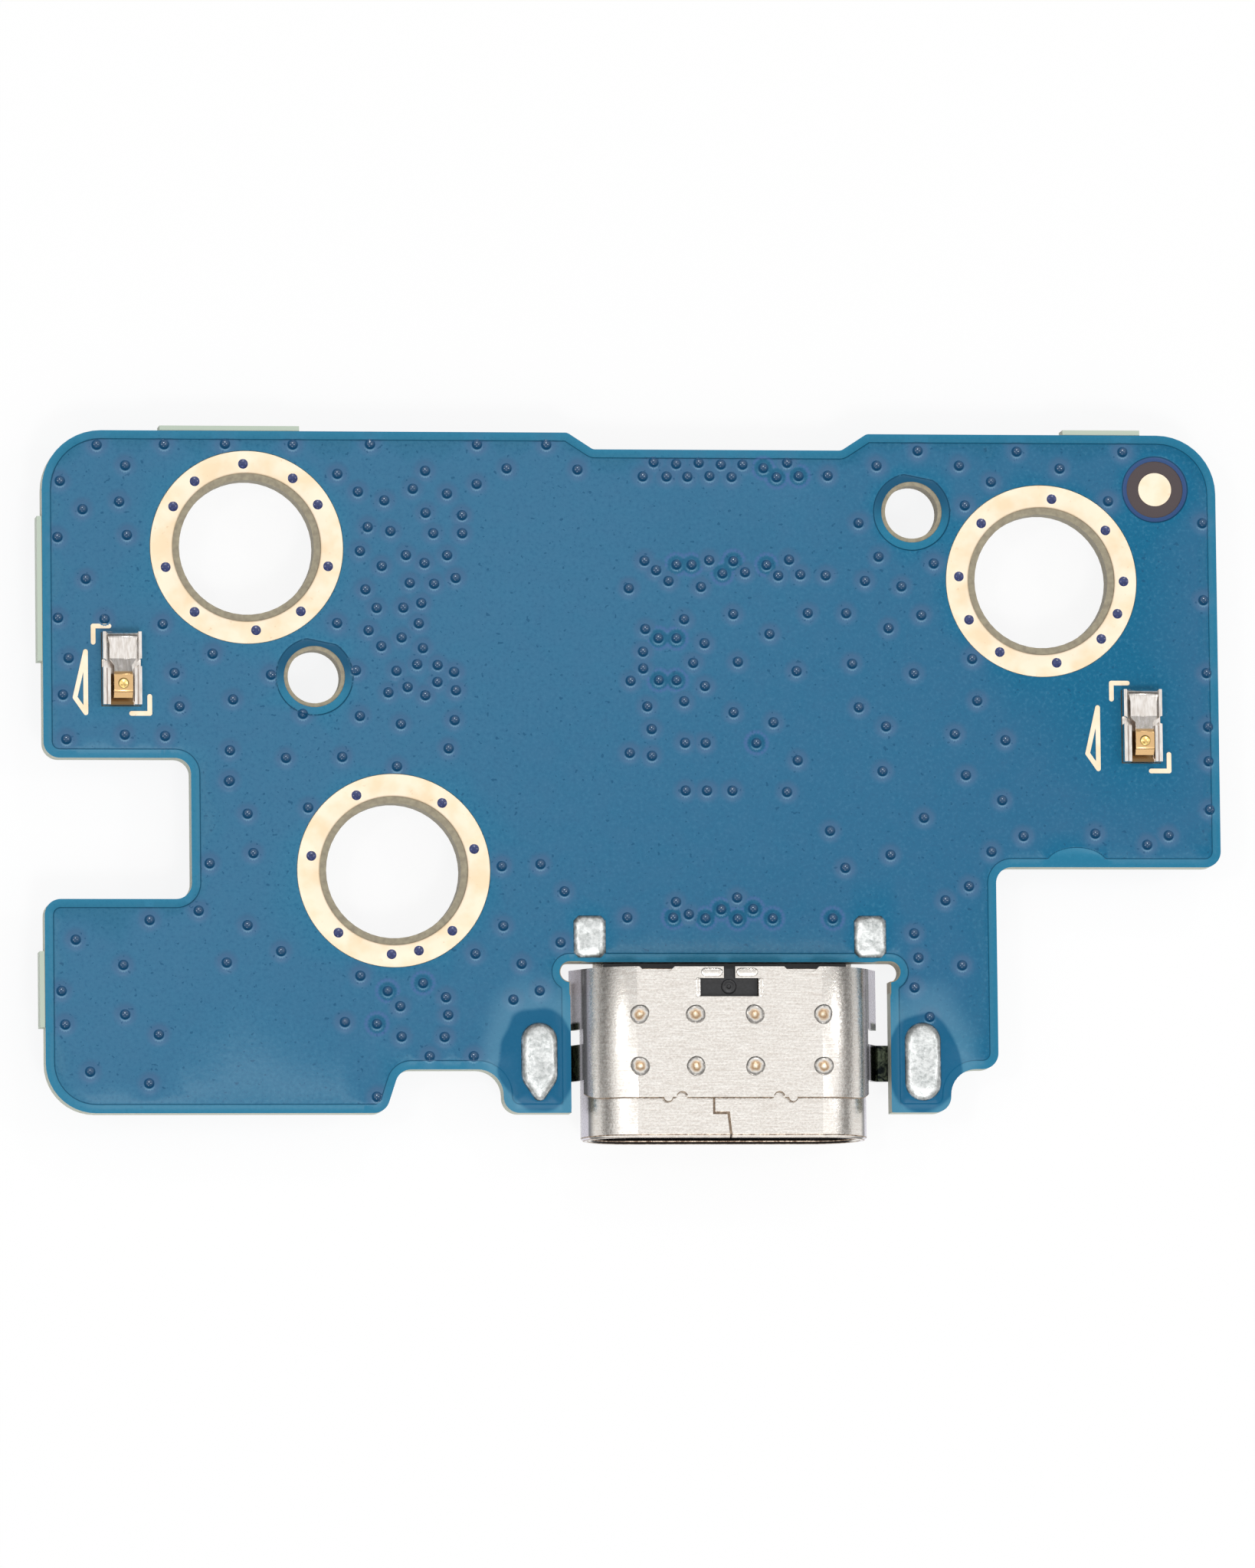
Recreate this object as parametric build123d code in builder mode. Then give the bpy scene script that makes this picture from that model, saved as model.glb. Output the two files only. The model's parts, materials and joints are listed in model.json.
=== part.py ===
from build123d import *
import os

os.makedirs("parts", exist_ok=True)

# Charging port board of a tablet computer, lying with its solder side up.
# Lengths are in millimetres. +Z is the solder side and the port's mouth points to -Y.
# X and Y are zero at the middle of the whole part, and Z is zero under the port's tube.

# Board
board_length = 36.8
board_depth = 21.2
board_thickness = 0.7
rear_corner_radius = 1.85
front_corner_radius = 1.55
edge_radius = 0.5
foot_radius = 0.8
stub_reach = 0.16
port_overhang = 0.82

# Notch for the flex cable in the rear edge
rear_notch_width = 7.8
rear_notch_slope = 0.8
rear_notch_depth = 0.52
rear_notch_radius = 0.25
rear_notch_from_right = 15.7

# Notch in the left edge
left_notch_reach = 4.57
left_notch_width = 4.38
front_block_depth = 6.63

# Right wing, and the feet on both sides of the port
wing_depth = 13.55
cutout_from_right = 15.48
cutout_side_gap = 0.27
cutout_depth = 4.68
relief_radius = 0.3
right_leg_reach = 8.38
right_foot_inset = 1.5
left_foot_reach = 7.12
foot_height = 1.35
front_notch_width = 3.23
front_notch_slope = 0.45

# Break-off stubs: each one's middle from the nearest corner's edge, and its length
rear_left_stub_place = 5.85
rear_left_stub_length = 4.35
rear_right_stub_place = 3.59
rear_right_stub_length = 2.43
left_rear_stub_place = 4.93
left_rear_stub_length = 4.5
left_front_stub_place = 3.84
left_front_stub_length = 2.35

# Holes, with their places from the nearest edges
rear_left_hole_from_left = 6.35
rear_left_hole_from_rear = 3.63
front_hole_offset = 0.4
front_hole_from_front = 7.52
rear_right_hole_from_right = 5.55
rear_right_hole_from_rear = 4.59
left_locator_from_left = 8.43
left_locator_from_rear = 7.65
right_locator_from_right = 9.61
right_locator_from_rear = 2.44
screw_hole_radius = 2.1
locating_hole_radius = 0.83
peg_slot_length = 1.7
peg_slot_width = 0.62
rear_slot_length = 0.75
rear_slot_width = 0.5

# Copper and solder mask
copper_and_mask = 0.065
mask_edge_gap = 0.03
pad_thickness = 0.04
ring_outer_radius = 3.0
ring_inner_radius = 2.315
mask_gap = 0.02
locating_mask_radius = 0.955
fiducial_from_right = 1.92
fiducial_from_rear = 1.7
fiducial_radius = 0.52
fiducial_mask_radius = 0.89

# Marks beside the spring contacts
mark_width = 0.15
mark_thickness = 0.015
mark_arm = 0.58
mark_side_gap = 0.28
mark_end_gap = 0.24
triangle_offsets = {"left": 1.1, "right": 1.36}
triangle_rear = 0.64
triangle_front = 1.42
triangle_tip = 0.8
triangle_width = 0.38

# Port: tube
tube_width = 8.94
tube_height = 3.16
tube_wall = 0.3
tube_length = 5.24
lip_bevel = 0.08
seam_width = 0.05
seam_rear_offset = -0.5
seam_step_offset = -0.06
seam_mouth_offset = 0.03
seam_step_from_mouth = 0.76
port_shift = 0.15
board_over_axis = 0.82

# Port: cover
cover_sheet = 0.15
cover_fit = 0.01
cover_length = 4.05
cover_rear_lap = 0.05
cover_wrap_height = 0.75
cover_corner_radius = 0.6
skirt_slope = 0.505
skirt_length = 1.86
arm_width = 1.12
arm_bend_radius = 0.2
arm_gap = 0.02
front_peg_spacing = 12.0
front_peg_from_front = 1.58
peg_stand = 0.05
slot_width = 1.82
slot_length = 0.57
slot_rear_strip = 0.36
slot_bevel = 0.1
neck_width = 0.36
rear_bite_spacing = 4.52
rear_bite_width = 1.1
rear_bite_depth = 0.17
bite_angle = 45
front_bite_spacing = 3.04
front_bite_radius = 0.18
front_tab_spacing = 3.9
front_tab_radius = 0.13

# Port: tongue, mid plate and contacts
insulator_fit = 0.02
tongue_width = 6.69
tongue_thickness = 0.7
tongue_recess = 0.2
tongue_tip_radius = 0.3
base_length = 0.95
ledge_width = 7.6
ledge_height = 0.6
ledge_gap = 0.03
boss_drop = 0.06
plate_thickness = 0.15
plate_tip_gap = 0.12
plate_bar_depth = 0.13
plate_clear_width = 6.8
plate_rail_width = 8.1
latch_notch_depth = 0.25
latch_notch_length = 1.2
latch_notch_from_tip = 1.9
rear_peg_spacing = 8.78
rear_peg_behind_cutout = 0.79
rear_peg_width = 0.4
rear_wing_depth = 0.45
contact_count = 12
contact_pitch = 0.5
contact_width = 0.26
contact_sheet = 0.12
contact_tip_gap = 0.3
tail_width = 0.13
tail_reach = 1.15
upper_riser_from_rear = 0.35
lower_riser_from_rear = 0.6
tail_pad_width = 0.15
tail_pad_length = 1.0

# Solder joints
front_solder_length = 2.4
front_solder_width = 1.1
front_solder_height = 0.16
front_solder_tip_radius = 0.2
rear_solder_length = 1.28
rear_solder_width = 0.98
rear_solder_height = 0.12
rear_solder_corner = 0.15
solder_edge = 0.09

# Spring contacts. Heights are above the pad, and lengths run from the middle of the pad.
left_spring_from_left = 2.42
left_spring_from_rear = 7.45
right_spring_from_right = 2.47
right_spring_from_rear = 9.15
spring_width = 1.2
spring_length = 2.26
spring_floor = 0.1
spring_wall = 0.1
spring_hem = 0.13
spring_wall_height = 0.5
spring_notch_radius = 0.12
spring_notch_y = 0.17
leaf_sheet = 0.08
leaf_height = 0.6
leaf_rise = 0.2
leaf_bend_radius = 0.2
leaf_back_width = 0.92
leaf_back_front = 0.96
leaf_body_width = 0.82
leaf_body_rear = 0.73
leaf_body_front = 0.27
leaf_neck_width = 0.53
leaf_neck_y = 0.05
leaf_end_width = 0.58
leaf_end_rear = -0.24
leaf_end_front = -0.74
leaf_tip_front = -0.92
leaf_tip_drop = 0.16
lip_height = 0.22

# Board-to-board socket on the hidden side
socket_from_notch = 0.35
socket_length = 6.6
socket_depth = 2.3
socket_height = 0.8
socket_end_wall = 0.45
socket_side_wall = 0.35
socket_floor = 0.2
socket_island_length = 4.9
socket_island_depth = 0.7
socket_contacts_a_row = 12
socket_pitch = 0.4
socket_contact_width = 0.16
socket_contact_sheet = 0.08
socket_contact_drop = 0.15
socket_tail = 0.3
fitting_sheet = 0.1
fitting_width = 1.5
fitting_foot = 0.3

# Small parts on the hidden side: right of the port's middle, before the socket or behind the cut-out,
# then length, depth and height
chips_before_socket = {"protection_chip": (0.12, 4.51, 3.5, 3.5, 0.75)}
chips_behind_cutout = {
    "surge_diode": (3.75, 3.19, 2.0, 1.8, 0.65),
    "left_static_protector": (-1.35, 2.49, 1.0, 0.6, 0.4),
    "right_static_protector": (1.55, 2.49, 1.0, 0.6, 0.4),
}
capped_parts_behind_cutout = {
    "front_capacitor": (-4.05, 2.99, 1.6, 0.8, 0.8),
    "rear_capacitor": (-4.05, 4.39, 1.6, 0.8, 0.8),
    "ferrite_bead": (6.05, 4.59, 2.0, 1.25, 0.9),
    "left_resistor": (-2.65, 6.19, 1.0, 0.5, 0.35),
    "right_resistor": (2.75, 6.19, 1.0, 0.5, 0.35),
}
chip_edge = 0.06
cap_share = 0.25
cap_stand = 0.03

# Levels, from the underside of the port's tube up
port_z = tube_height / 2
hidden_z = port_z + board_over_axis - board_thickness
face_z = hidden_z + board_thickness
mask_z = face_z + copper_and_mask
peg_top = face_z + peg_stand

# Section of the port's cover: half widths from the middle of the port
cover_width = tube_width + 2 * cover_fit
cover_height = tube_height + 2 * cover_fit
sheet_radius = cover_height / 2 + cover_sheet / 2
strip_top = port_z + cover_wrap_height + cover_sheet / 2
strip_top_x = (cover_width - cover_height) / 2 + (sheet_radius**2 - (strip_top - port_z) ** 2) ** 0.5
arm_z = hidden_z - arm_gap - cover_sheet / 2
strip_foot_x = strip_top_x + (strip_top - arm_z) * skirt_slope
cutout_width = 2 * (strip_foot_x + cutout_side_gap)

# Edges and places that follow from the sizes above
left = stub_reach - (board_length + stub_reach) / 2
right = left + board_length
rear = (board_depth + stub_reach + port_overhang) / 2 - stub_reach
front = rear - board_depth
mouth_y = front - port_overhang
cutout_x = right - cutout_from_right
cutout_rear = front + cutout_depth
rear_notch_x = right - rear_notch_from_right
port_x = cutout_x - port_shift
tube_rear = mouth_y + tube_length
front_hole_x = (left + left_notch_reach + cutout_x - cutout_width / 2) / 2 + front_hole_offset

screw_holes = {
    "rear_left": (left + rear_left_hole_from_left, rear - rear_left_hole_from_rear),
    "front": (front_hole_x, front + front_hole_from_front),
    "rear_right": (right - rear_right_hole_from_right, rear - rear_right_hole_from_rear),
}
locating_holes = [
    (left + left_locator_from_left, rear - left_locator_from_rear),
    (right - right_locator_from_right, rear - right_locator_from_rear),
]
fiducial_place = (right - fiducial_from_right, rear - fiducial_from_rear)
spring_places = {
    "left": (left + left_spring_from_left, rear - left_spring_from_rear),
    "right": (right - right_spring_from_right, rear - right_spring_from_rear),
}
front_peg_y = front + front_peg_from_front
rear_peg_y = cutout_rear + rear_peg_behind_cutout
sides = {"left": -1, "right": 1}
front_pegs = {name: (cutout_x + side * front_peg_spacing / 2, front_peg_y) for name, side in sides.items()}
rear_pegs = {name: (cutout_x + side * rear_peg_spacing / 2, rear_peg_y) for name, side in sides.items()}
rear_stubs = [
    (left + rear_left_stub_place, rear_left_stub_length),
    (right - rear_right_stub_place, rear_right_stub_length),
]
left_stubs = [
    (rear - left_rear_stub_place, left_rear_stub_length),
    (front + left_front_stub_place, left_front_stub_length),
]

# Corners of the board with their radii, clockwise from the rear left corner
wing_y = rear - wing_depth
step_y = front + foot_height
notch_floor_y = rear - rear_notch_depth
notch_half = rear_notch_width / 2
corners = [
    ((left, rear), rear_corner_radius),
    ((rear_notch_x - notch_half - rear_notch_slope, rear), rear_notch_radius),
    ((rear_notch_x - notch_half, notch_floor_y), rear_notch_radius),
    ((rear_notch_x + notch_half, notch_floor_y), rear_notch_radius),
    ((rear_notch_x + notch_half + rear_notch_slope, rear), rear_notch_radius),
    ((right, rear), rear_corner_radius),
    ((right, wing_y), edge_radius),
    ((cutout_x + right_leg_reach, wing_y), edge_radius),
    ((cutout_x + right_leg_reach, step_y), edge_radius),
    ((cutout_x + right_leg_reach - right_foot_inset, step_y), foot_radius),
    ((cutout_x + right_leg_reach - right_foot_inset, front), edge_radius),
    ((cutout_x + cutout_width / 2, front), 0),
    ((cutout_x + cutout_width / 2, cutout_rear), 0),
    ((cutout_x - cutout_width / 2, cutout_rear), 0),
    ((cutout_x - cutout_width / 2, front), 0),
    ((cutout_x - left_foot_reach, front), edge_radius),
    ((cutout_x - left_foot_reach, step_y), foot_radius),
    ((cutout_x - left_foot_reach - front_notch_width, step_y), edge_radius),
    ((cutout_x - left_foot_reach - front_notch_width - front_notch_slope, front), edge_radius),
    ((left, front), front_corner_radius),
    ((left, front + front_block_depth), edge_radius),
    ((left + left_notch_reach, front + front_block_depth), edge_radius),
    ((left + left_notch_reach, front + front_block_depth + left_notch_width), edge_radius),
    ((left, front + front_block_depth + left_notch_width), edge_radius),
]

with BuildSketch() as board_face:
    with BuildLine():
        FilletPolyline([point for point, _ in corners], radius=[r for _, r in corners], close=True)
    make_face()
    with Locations(
        (cutout_x - cutout_width / 2, cutout_rear - relief_radius),
        (cutout_x + cutout_width / 2, cutout_rear - relief_radius),
    ):
        Circle(relief_radius, mode=Mode.SUBTRACT)

with BuildSketch() as mask_face:
    add(board_face.sketch)
    offset(amount=-mask_edge_gap, kind=Kind.INTERSECTION)


def finish(part, name):
    """Label one finished piece and write it to its own file."""
    part.label = name
    export_step(part, f"parts/{name}.step")


# Circuit board
with BuildPart() as circuit_board:
    with BuildSketch(Plane.XY.offset(hidden_z)):
        add(board_face.sketch)
        for x, length in rear_stubs:
            with Locations((x, rear)):
                Rectangle(length, 2 * stub_reach)
        for y, length in left_stubs:
            with Locations((left, y)):
                Rectangle(2 * stub_reach, length)
        with Locations(*screw_holes.values()):
            Circle(screw_hole_radius, mode=Mode.SUBTRACT)
        with Locations(*locating_holes):
            Circle(locating_hole_radius, mode=Mode.SUBTRACT)
        with Locations(*front_pegs.values()):
            SlotOverall(peg_slot_length, peg_slot_width, rotation=90, mode=Mode.SUBTRACT)
        with Locations(*rear_pegs.values()):
            Rectangle(rear_slot_length, rear_slot_width, mode=Mode.SUBTRACT)
    extrude(amount=board_thickness)
finish(circuit_board.part, "circuit_board")

# Solder mask of the visible side, over the copper
with BuildPart() as upper_mask:
    with BuildSketch(Plane.XY.offset(face_z)):
        add(mask_face.sketch)
        with Locations(*screw_holes.values()):
            Circle(ring_outer_radius + mask_gap, mode=Mode.SUBTRACT)
        with Locations(*locating_holes):
            Circle(locating_mask_radius, mode=Mode.SUBTRACT)
        with Locations(fiducial_place):
            Circle(fiducial_mask_radius, mode=Mode.SUBTRACT)
        with Locations(*front_pegs.values()):
            SlotOverall(
                front_solder_length + 2 * mask_gap,
                front_solder_width + 2 * mask_gap,
                rotation=90,
                mode=Mode.SUBTRACT,
            )
        with Locations(*rear_pegs.values()):
            Rectangle(
                rear_solder_width + 2 * mask_gap, rear_solder_length + 2 * mask_gap, mode=Mode.SUBTRACT
            )
        with Locations(*spring_places.values()):
            Rectangle(spring_width + 2 * mask_gap, spring_length + 2 * mask_gap, mode=Mode.SUBTRACT)
    extrude(amount=copper_and_mask)
finish(upper_mask.part, "upper_solder_mask")

# Ground rings round the screw holes
for place_name, place in screw_holes.items():
    with BuildPart() as ground_ring:
        with BuildSketch(Plane.XY.offset(face_z)):
            with Locations(place):
                Circle(ring_outer_radius)
                Circle(ring_inner_radius, mode=Mode.SUBTRACT)
        extrude(amount=pad_thickness)
    finish(ground_ring.part, f"{place_name}_ground_ring")

# Fiducial pad
with BuildPart() as fiducial:
    with BuildSketch(Plane.XY.offset(face_z)):
        with Locations(fiducial_place):
            Circle(fiducial_radius)
    extrude(amount=pad_thickness)
finish(fiducial.part, "fiducial_pad")


def mark_strokes(x, y, triangle_x):
    """Two corner marks and a triangle round the spring contact at x, y."""
    left_x = x - spring_width / 2 - mark_side_gap
    right_x = x + spring_width / 2 + mark_side_gap
    rear_y = y + spring_length / 2 + mark_end_gap
    front_y = y - spring_length / 2 - mark_end_gap
    return [
        [(left_x + mark_arm, rear_y), (left_x, rear_y), (left_x, rear_y - mark_arm)],
        [(right_x - mark_arm, front_y), (right_x, front_y), (right_x, front_y + mark_arm)],
        [
            (triangle_x, y + triangle_rear),
            (triangle_x, y - triangle_front),
            (triangle_x - triangle_width, y - triangle_tip),
            (triangle_x, y + triangle_rear),
        ],
    ]


# Marks that show where each spring contact goes
for side, (x, y) in spring_places.items():
    with BuildPart() as marks:
        with BuildSketch(Plane.XY.offset(mask_z)):
            for stroke in mark_strokes(x, y, x - triangle_offsets[side]):
                with BuildLine(mode=Mode.PRIVATE) as route:
                    Polyline(*stroke)
                trace(route.line, line_width=mark_width)
        extrude(amount=mark_thickness)
    finish(marks.part, f"{side}_position_marks")

# Levels and edges of the port
cover_rear = tube_rear + cover_rear_lap
cover_front = cover_rear - cover_length
slot_rear = cover_rear - slot_rear_strip
slot_middle = slot_rear - slot_length / 2
boss_front = slot_rear - slot_length
inner_width = tube_width - 2 * tube_wall
inner_height = tube_height - 2 * tube_wall

# Port tube: a rolled stadium section with a stepped seam on top and a window for the insulator's boss
with BuildPart() as port_tube:
    with BuildSketch(Plane.XZ.offset(-tube_rear)):
        with Locations((port_x, port_z)):
            SlotOverall(tube_width, tube_height)
            SlotOverall(inner_width, inner_height, mode=Mode.SUBTRACT)
    extrude(amount=tube_length)
    chamfer(port_tube.faces().sort_by(Axis.Y)[0].edges(), lip_bevel)
    seam_step_y = mouth_y + seam_step_from_mouth
    with BuildSketch(Plane.XY.offset(port_z + tube_wall)):
        with BuildLine(mode=Mode.PRIVATE) as seam:
            Polyline(
                (port_x + seam_rear_offset, tube_rear + seam_width),
                (port_x + seam_rear_offset, seam_step_y),
                (port_x + seam_step_offset, seam_step_y),
                (port_x + seam_mouth_offset, mouth_y - seam_width),
            )
        trace(seam.line, line_width=seam_width)
        with Locations((port_x, tube_rear)):
            Rectangle(slot_width, 2 * (tube_rear - boss_front))
    extrude(amount=tube_height, mode=Mode.SUBTRACT)
finish(port_tube.part, "port_tube")

# Port cover: a sheet round the top of the tube, with flared skirts at the rear and an arm to each front peg
bite_base = rear_bite_width + 2 * rear_bite_depth
with BuildPart() as port_cover:
    with BuildSketch(Plane.XZ.offset(-cover_rear)):
        with Locations((port_x, port_z)):
            SlotOverall(cover_width + 2 * cover_sheet, cover_height + 2 * cover_sheet)
            SlotOverall(cover_width, cover_height, mode=Mode.SUBTRACT)
        with Locations((port_x, port_z + cover_wrap_height)):
            Rectangle(2 * cover_width, 2 * cover_height, align=(Align.CENTER, Align.MAX), mode=Mode.SUBTRACT)
    extrude(amount=cover_length + front_tab_radius)
    # The sheet's outline seen from above
    with BuildSketch(Plane.XY.offset(port_z)) as sheet_outline:
        with Locations((port_x, (cover_rear + cover_front) / 2)):
            Rectangle(cover_width + 2 * cover_sheet, cover_length)
        fillet(sheet_outline.vertices().group_by(Axis.Y)[0], cover_corner_radius)
        with Locations((port_x, slot_middle)):
            Rectangle(slot_width, slot_length, mode=Mode.SUBTRACT)
            Rectangle(
                neck_width, cover_rear - slot_middle, align=(Align.CENTER, Align.MIN), mode=Mode.SUBTRACT
            )
        for side in (-1, 1):
            with Locations((port_x + side * rear_bite_spacing / 2, cover_rear)):
                Trapezoid(bite_base, 2 * rear_bite_depth, bite_angle, rotation=180, mode=Mode.SUBTRACT)
            with Locations((port_x + side * front_bite_spacing / 2, cover_front)):
                Circle(front_bite_radius, mode=Mode.SUBTRACT)
            with Locations((port_x + side * front_tab_spacing / 2, cover_front)):
                Circle(front_tab_radius)
    extrude(amount=2 * tube_height, mode=Mode.INTERSECT)
    # Bevelled ends of the slot
    top_edges = port_cover.edges().filter_by(Axis.Y).group_by(Axis.Z)[-1]
    slot_ends = [e for e in top_edges if abs(abs(e.center().X - port_x) - slot_width / 2) < cover_fit]
    chamfer(slot_ends, slot_bevel)
    for side in (-1, 1):
        # Flared skirt
        with BuildSketch(Plane.XZ.offset(-cover_rear)):
            with BuildLine(mode=Mode.PRIVATE) as skirt_line:
                Line((port_x + side * strip_top_x, strip_top), (port_x + side * strip_foot_x, arm_z))
            trace(skirt_line.line, line_width=cover_sheet)
        extrude(amount=skirt_length)
        # Arm and front peg
        with BuildSketch(Plane.XZ.offset(-(front_peg_y + arm_width / 2))):
            with BuildLine(mode=Mode.PRIVATE) as arm_line:
                FilletPolyline(
                    (port_x + side * strip_top_x, strip_top),
                    (port_x + side * strip_foot_x, arm_z),
                    (port_x + side * front_peg_spacing / 2, arm_z),
                    (port_x + side * front_peg_spacing / 2, peg_top),
                    radius=arm_bend_radius,
                )
            trace(arm_line.line, line_width=cover_sheet)
        extrude(amount=arm_width)
finish(port_cover.part, "port_cover")

# Mid plate: the steel core of the tongue, with two rear legs that come up through the board
root_y = tube_rear - base_length
tongue_front = mouth_y + tongue_recess
plate_front = tongue_front + plate_tip_gap
plate_back = root_y + insulator_fit + plate_bar_depth
plate_z = port_z - plate_thickness / 2
leg_rear = rear_peg_y + rear_wing_depth / 2
latch_notch_y = tongue_front + latch_notch_from_tip + latch_notch_length / 2
with BuildPart() as mid_plate:
    with BuildSketch(Plane.XY.offset(plate_z)):
        with Locations((port_x, plate_front)):
            Rectangle(tongue_width, plate_back - plate_front, align=(Align.CENTER, Align.MIN))
        with Locations((port_x, root_y + insulator_fit)):
            Rectangle(plate_rail_width, leg_rear - root_y - insulator_fit, align=(Align.CENTER, Align.MIN))
        with Locations((port_x, rear_peg_y)):
            Rectangle(rear_peg_spacing + rear_peg_width, rear_wing_depth)
        with Locations((port_x, plate_back)):
            Rectangle(
                plate_clear_width, leg_rear - plate_back, align=(Align.CENTER, Align.MIN), mode=Mode.SUBTRACT
            )
        for side in (-1, 1):
            with Locations((port_x + side * tongue_width / 2, latch_notch_y)):
                Rectangle(2 * latch_notch_depth, latch_notch_length, mode=Mode.SUBTRACT)
    extrude(amount=plate_thickness)
    with BuildSketch(Plane.XY.offset(plate_z)):
        for side in (-1, 1):
            with Locations((port_x + side * rear_peg_spacing / 2, rear_peg_y)):
                Rectangle(rear_peg_width, plate_thickness)
    extrude(amount=peg_top - plate_z)
finish(mid_plate.part, "port_mid_plate")

# Contacts of the port: a blade on the tongue, a riser in the base and a tail under the board.
# A strip is given by its top, its front and rear ends, its width, its height and a shift sideways.
blade_front = tongue_front + contact_tip_gap
tail_top = hidden_z - pad_thickness
tail_end = cutout_rear + tail_reach
upper_riser_y = tube_rear - upper_riser_from_rear
lower_riser_y = tube_rear - lower_riser_from_rear
upper_face_z = port_z + tongue_thickness / 2
lower_face_z = port_z - tongue_thickness / 2
contact_places = [port_x + (i - (contact_count - 1) / 2) * contact_pitch for i in range(contact_count)]
contact_strips = {
    "upper": [
        (upper_face_z, blade_front, upper_riser_y, contact_width, contact_sheet, 0),
        (upper_face_z, upper_riser_y - contact_sheet, upper_riser_y, tail_width, upper_face_z - tail_top, 0),
        (tail_top, upper_riser_y - contact_sheet, tail_end, tail_width, contact_sheet, 0),
    ],
    "lower": [
        (lower_face_z + contact_sheet, blade_front, lower_riser_y, contact_width, contact_sheet, 0),
        (tail_top, lower_riser_y - contact_sheet, lower_riser_y, tail_width, tail_top - lower_face_z, 0),
        (
            tail_top,
            lower_riser_y - contact_sheet,
            lower_riser_y,
            contact_pitch / 2 + tail_width,
            contact_sheet,
            contact_pitch / 4,
        ),
        (tail_top, lower_riser_y - contact_sheet, tail_end, tail_width, contact_sheet, contact_pitch / 2),
    ],
}
port_contacts = []
for row, row_strips in contact_strips.items():
    with BuildPart() as contacts:
        for top, strip_front, strip_rear, width, height, shift in row_strips:
            with BuildSketch(Plane.XY.offset(top)):
                for place in contact_places:
                    with Locations((place + shift, (strip_front + strip_rear) / 2)):
                        Rectangle(width, strip_rear - strip_front)
            extrude(amount=-height)
    finish(contacts.part, f"{row}_port_contacts")
    port_contacts.append(contacts.part)

# Solder pads for the tails, on the hidden side of the board
with BuildPart() as tail_pads:
    with BuildSketch(Plane.XY.offset(hidden_z)):
        for place in contact_places:
            with Locations((place, tail_end), (place + contact_pitch / 2, tail_end)):
                Rectangle(tail_pad_width, tail_pad_length, align=(Align.CENTER, Align.MAX))
    extrude(amount=-pad_thickness)
finish(tail_pads.part, "port_tail_pads")

# Insulator: one moulding with the base in the tube, the ledge over the tails, the boss in the tube's window
# and the tongue
with BuildPart() as port_insulator:
    with BuildSketch(Plane.XZ.offset(-tube_rear)):
        with Locations((port_x, port_z)):
            SlotOverall(inner_width - 2 * insulator_fit, inner_height - 2 * insulator_fit)
    extrude(amount=base_length)
    with BuildSketch(Plane.XY.offset(tail_top)):
        with Locations((port_x, root_y)):
            Rectangle(ledge_width, cutout_rear - ledge_gap - root_y, align=(Align.CENTER, Align.MIN))
    extrude(amount=ledge_height)
    with BuildSketch(Plane.XY.offset(port_z)):
        with Locations((port_x, tube_rear)):
            Rectangle(
                slot_width - 2 * insulator_fit,
                tube_rear - boss_front - insulator_fit,
                align=(Align.CENTER, Align.MAX),
            )
    extrude(amount=tube_height - boss_drop - port_z)
    with BuildSketch(Plane.XY.offset(lower_face_z)) as tongue_outline:
        with Locations((port_x, tongue_front)):
            Rectangle(tongue_width, root_y - tongue_front, align=(Align.CENTER, Align.MIN))
        fillet(tongue_outline.vertices().group_by(Axis.Y)[0], tongue_tip_radius)
        for side in (-1, 1):
            with Locations((port_x + side * tongue_width / 2, latch_notch_y)):
                Rectangle(2 * latch_notch_depth, latch_notch_length, mode=Mode.SUBTRACT)
    extrude(amount=tongue_thickness)
    add(mid_plate.part, mode=Mode.SUBTRACT)
    add(port_contacts, mode=Mode.SUBTRACT)
finish(port_insulator.part, "port_insulator")

# Solder joints of the front pegs: a flat dome over the slot and a core round the peg
for side, place in front_pegs.items():
    with BuildPart() as front_joint:
        with BuildSketch(Plane.XY.offset(face_z)):
            straight = (front_solder_length - front_solder_width) / 2
            tip_radius = front_solder_tip_radius if side == "left" else front_solder_width / 2
            with Locations((place[0], place[1] + straight)):
                Circle(front_solder_width / 2)
            with Locations((place[0], place[1] - straight + front_solder_width / 4)):
                Circle(front_solder_width / 2)
            with Locations((place[0], place[1] - front_solder_length / 2 + tip_radius)):
                Circle(tip_radius)
            make_hull()
        extrude(amount=front_solder_height)
        chamfer(front_joint.faces().sort_by(Axis.Z)[-1].edges(), solder_edge)
        with BuildSketch(Plane.XY.offset(hidden_z)):
            with Locations(place):
                SlotOverall(peg_slot_length, peg_slot_width, rotation=90)
        extrude(amount=board_thickness)
        add(port_cover.part, mode=Mode.SUBTRACT)
    finish(front_joint.part, f"{side}_front_solder_joint")

# Solder joints of the mid plate's legs
for side, place in rear_pegs.items():
    with BuildPart() as rear_joint:
        with BuildSketch(Plane.XY.offset(face_z)):
            with Locations(place):
                Rectangle(rear_solder_width, rear_solder_length)
        extrude(amount=rear_solder_height)
        chamfer(rear_joint.edges().filter_by(Axis.Z), rear_solder_corner)
        chamfer(rear_joint.faces().sort_by(Axis.Z)[-1].edges(), solder_edge)
        with BuildSketch(Plane.XY.offset(hidden_z)):
            with Locations(place):
                Rectangle(rear_slot_length, rear_slot_width)
        extrude(amount=board_thickness)
        add(mid_plate.part, mode=Mode.SUBTRACT)
    finish(rear_joint.part, f"{side}_rear_solder_joint")

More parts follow.
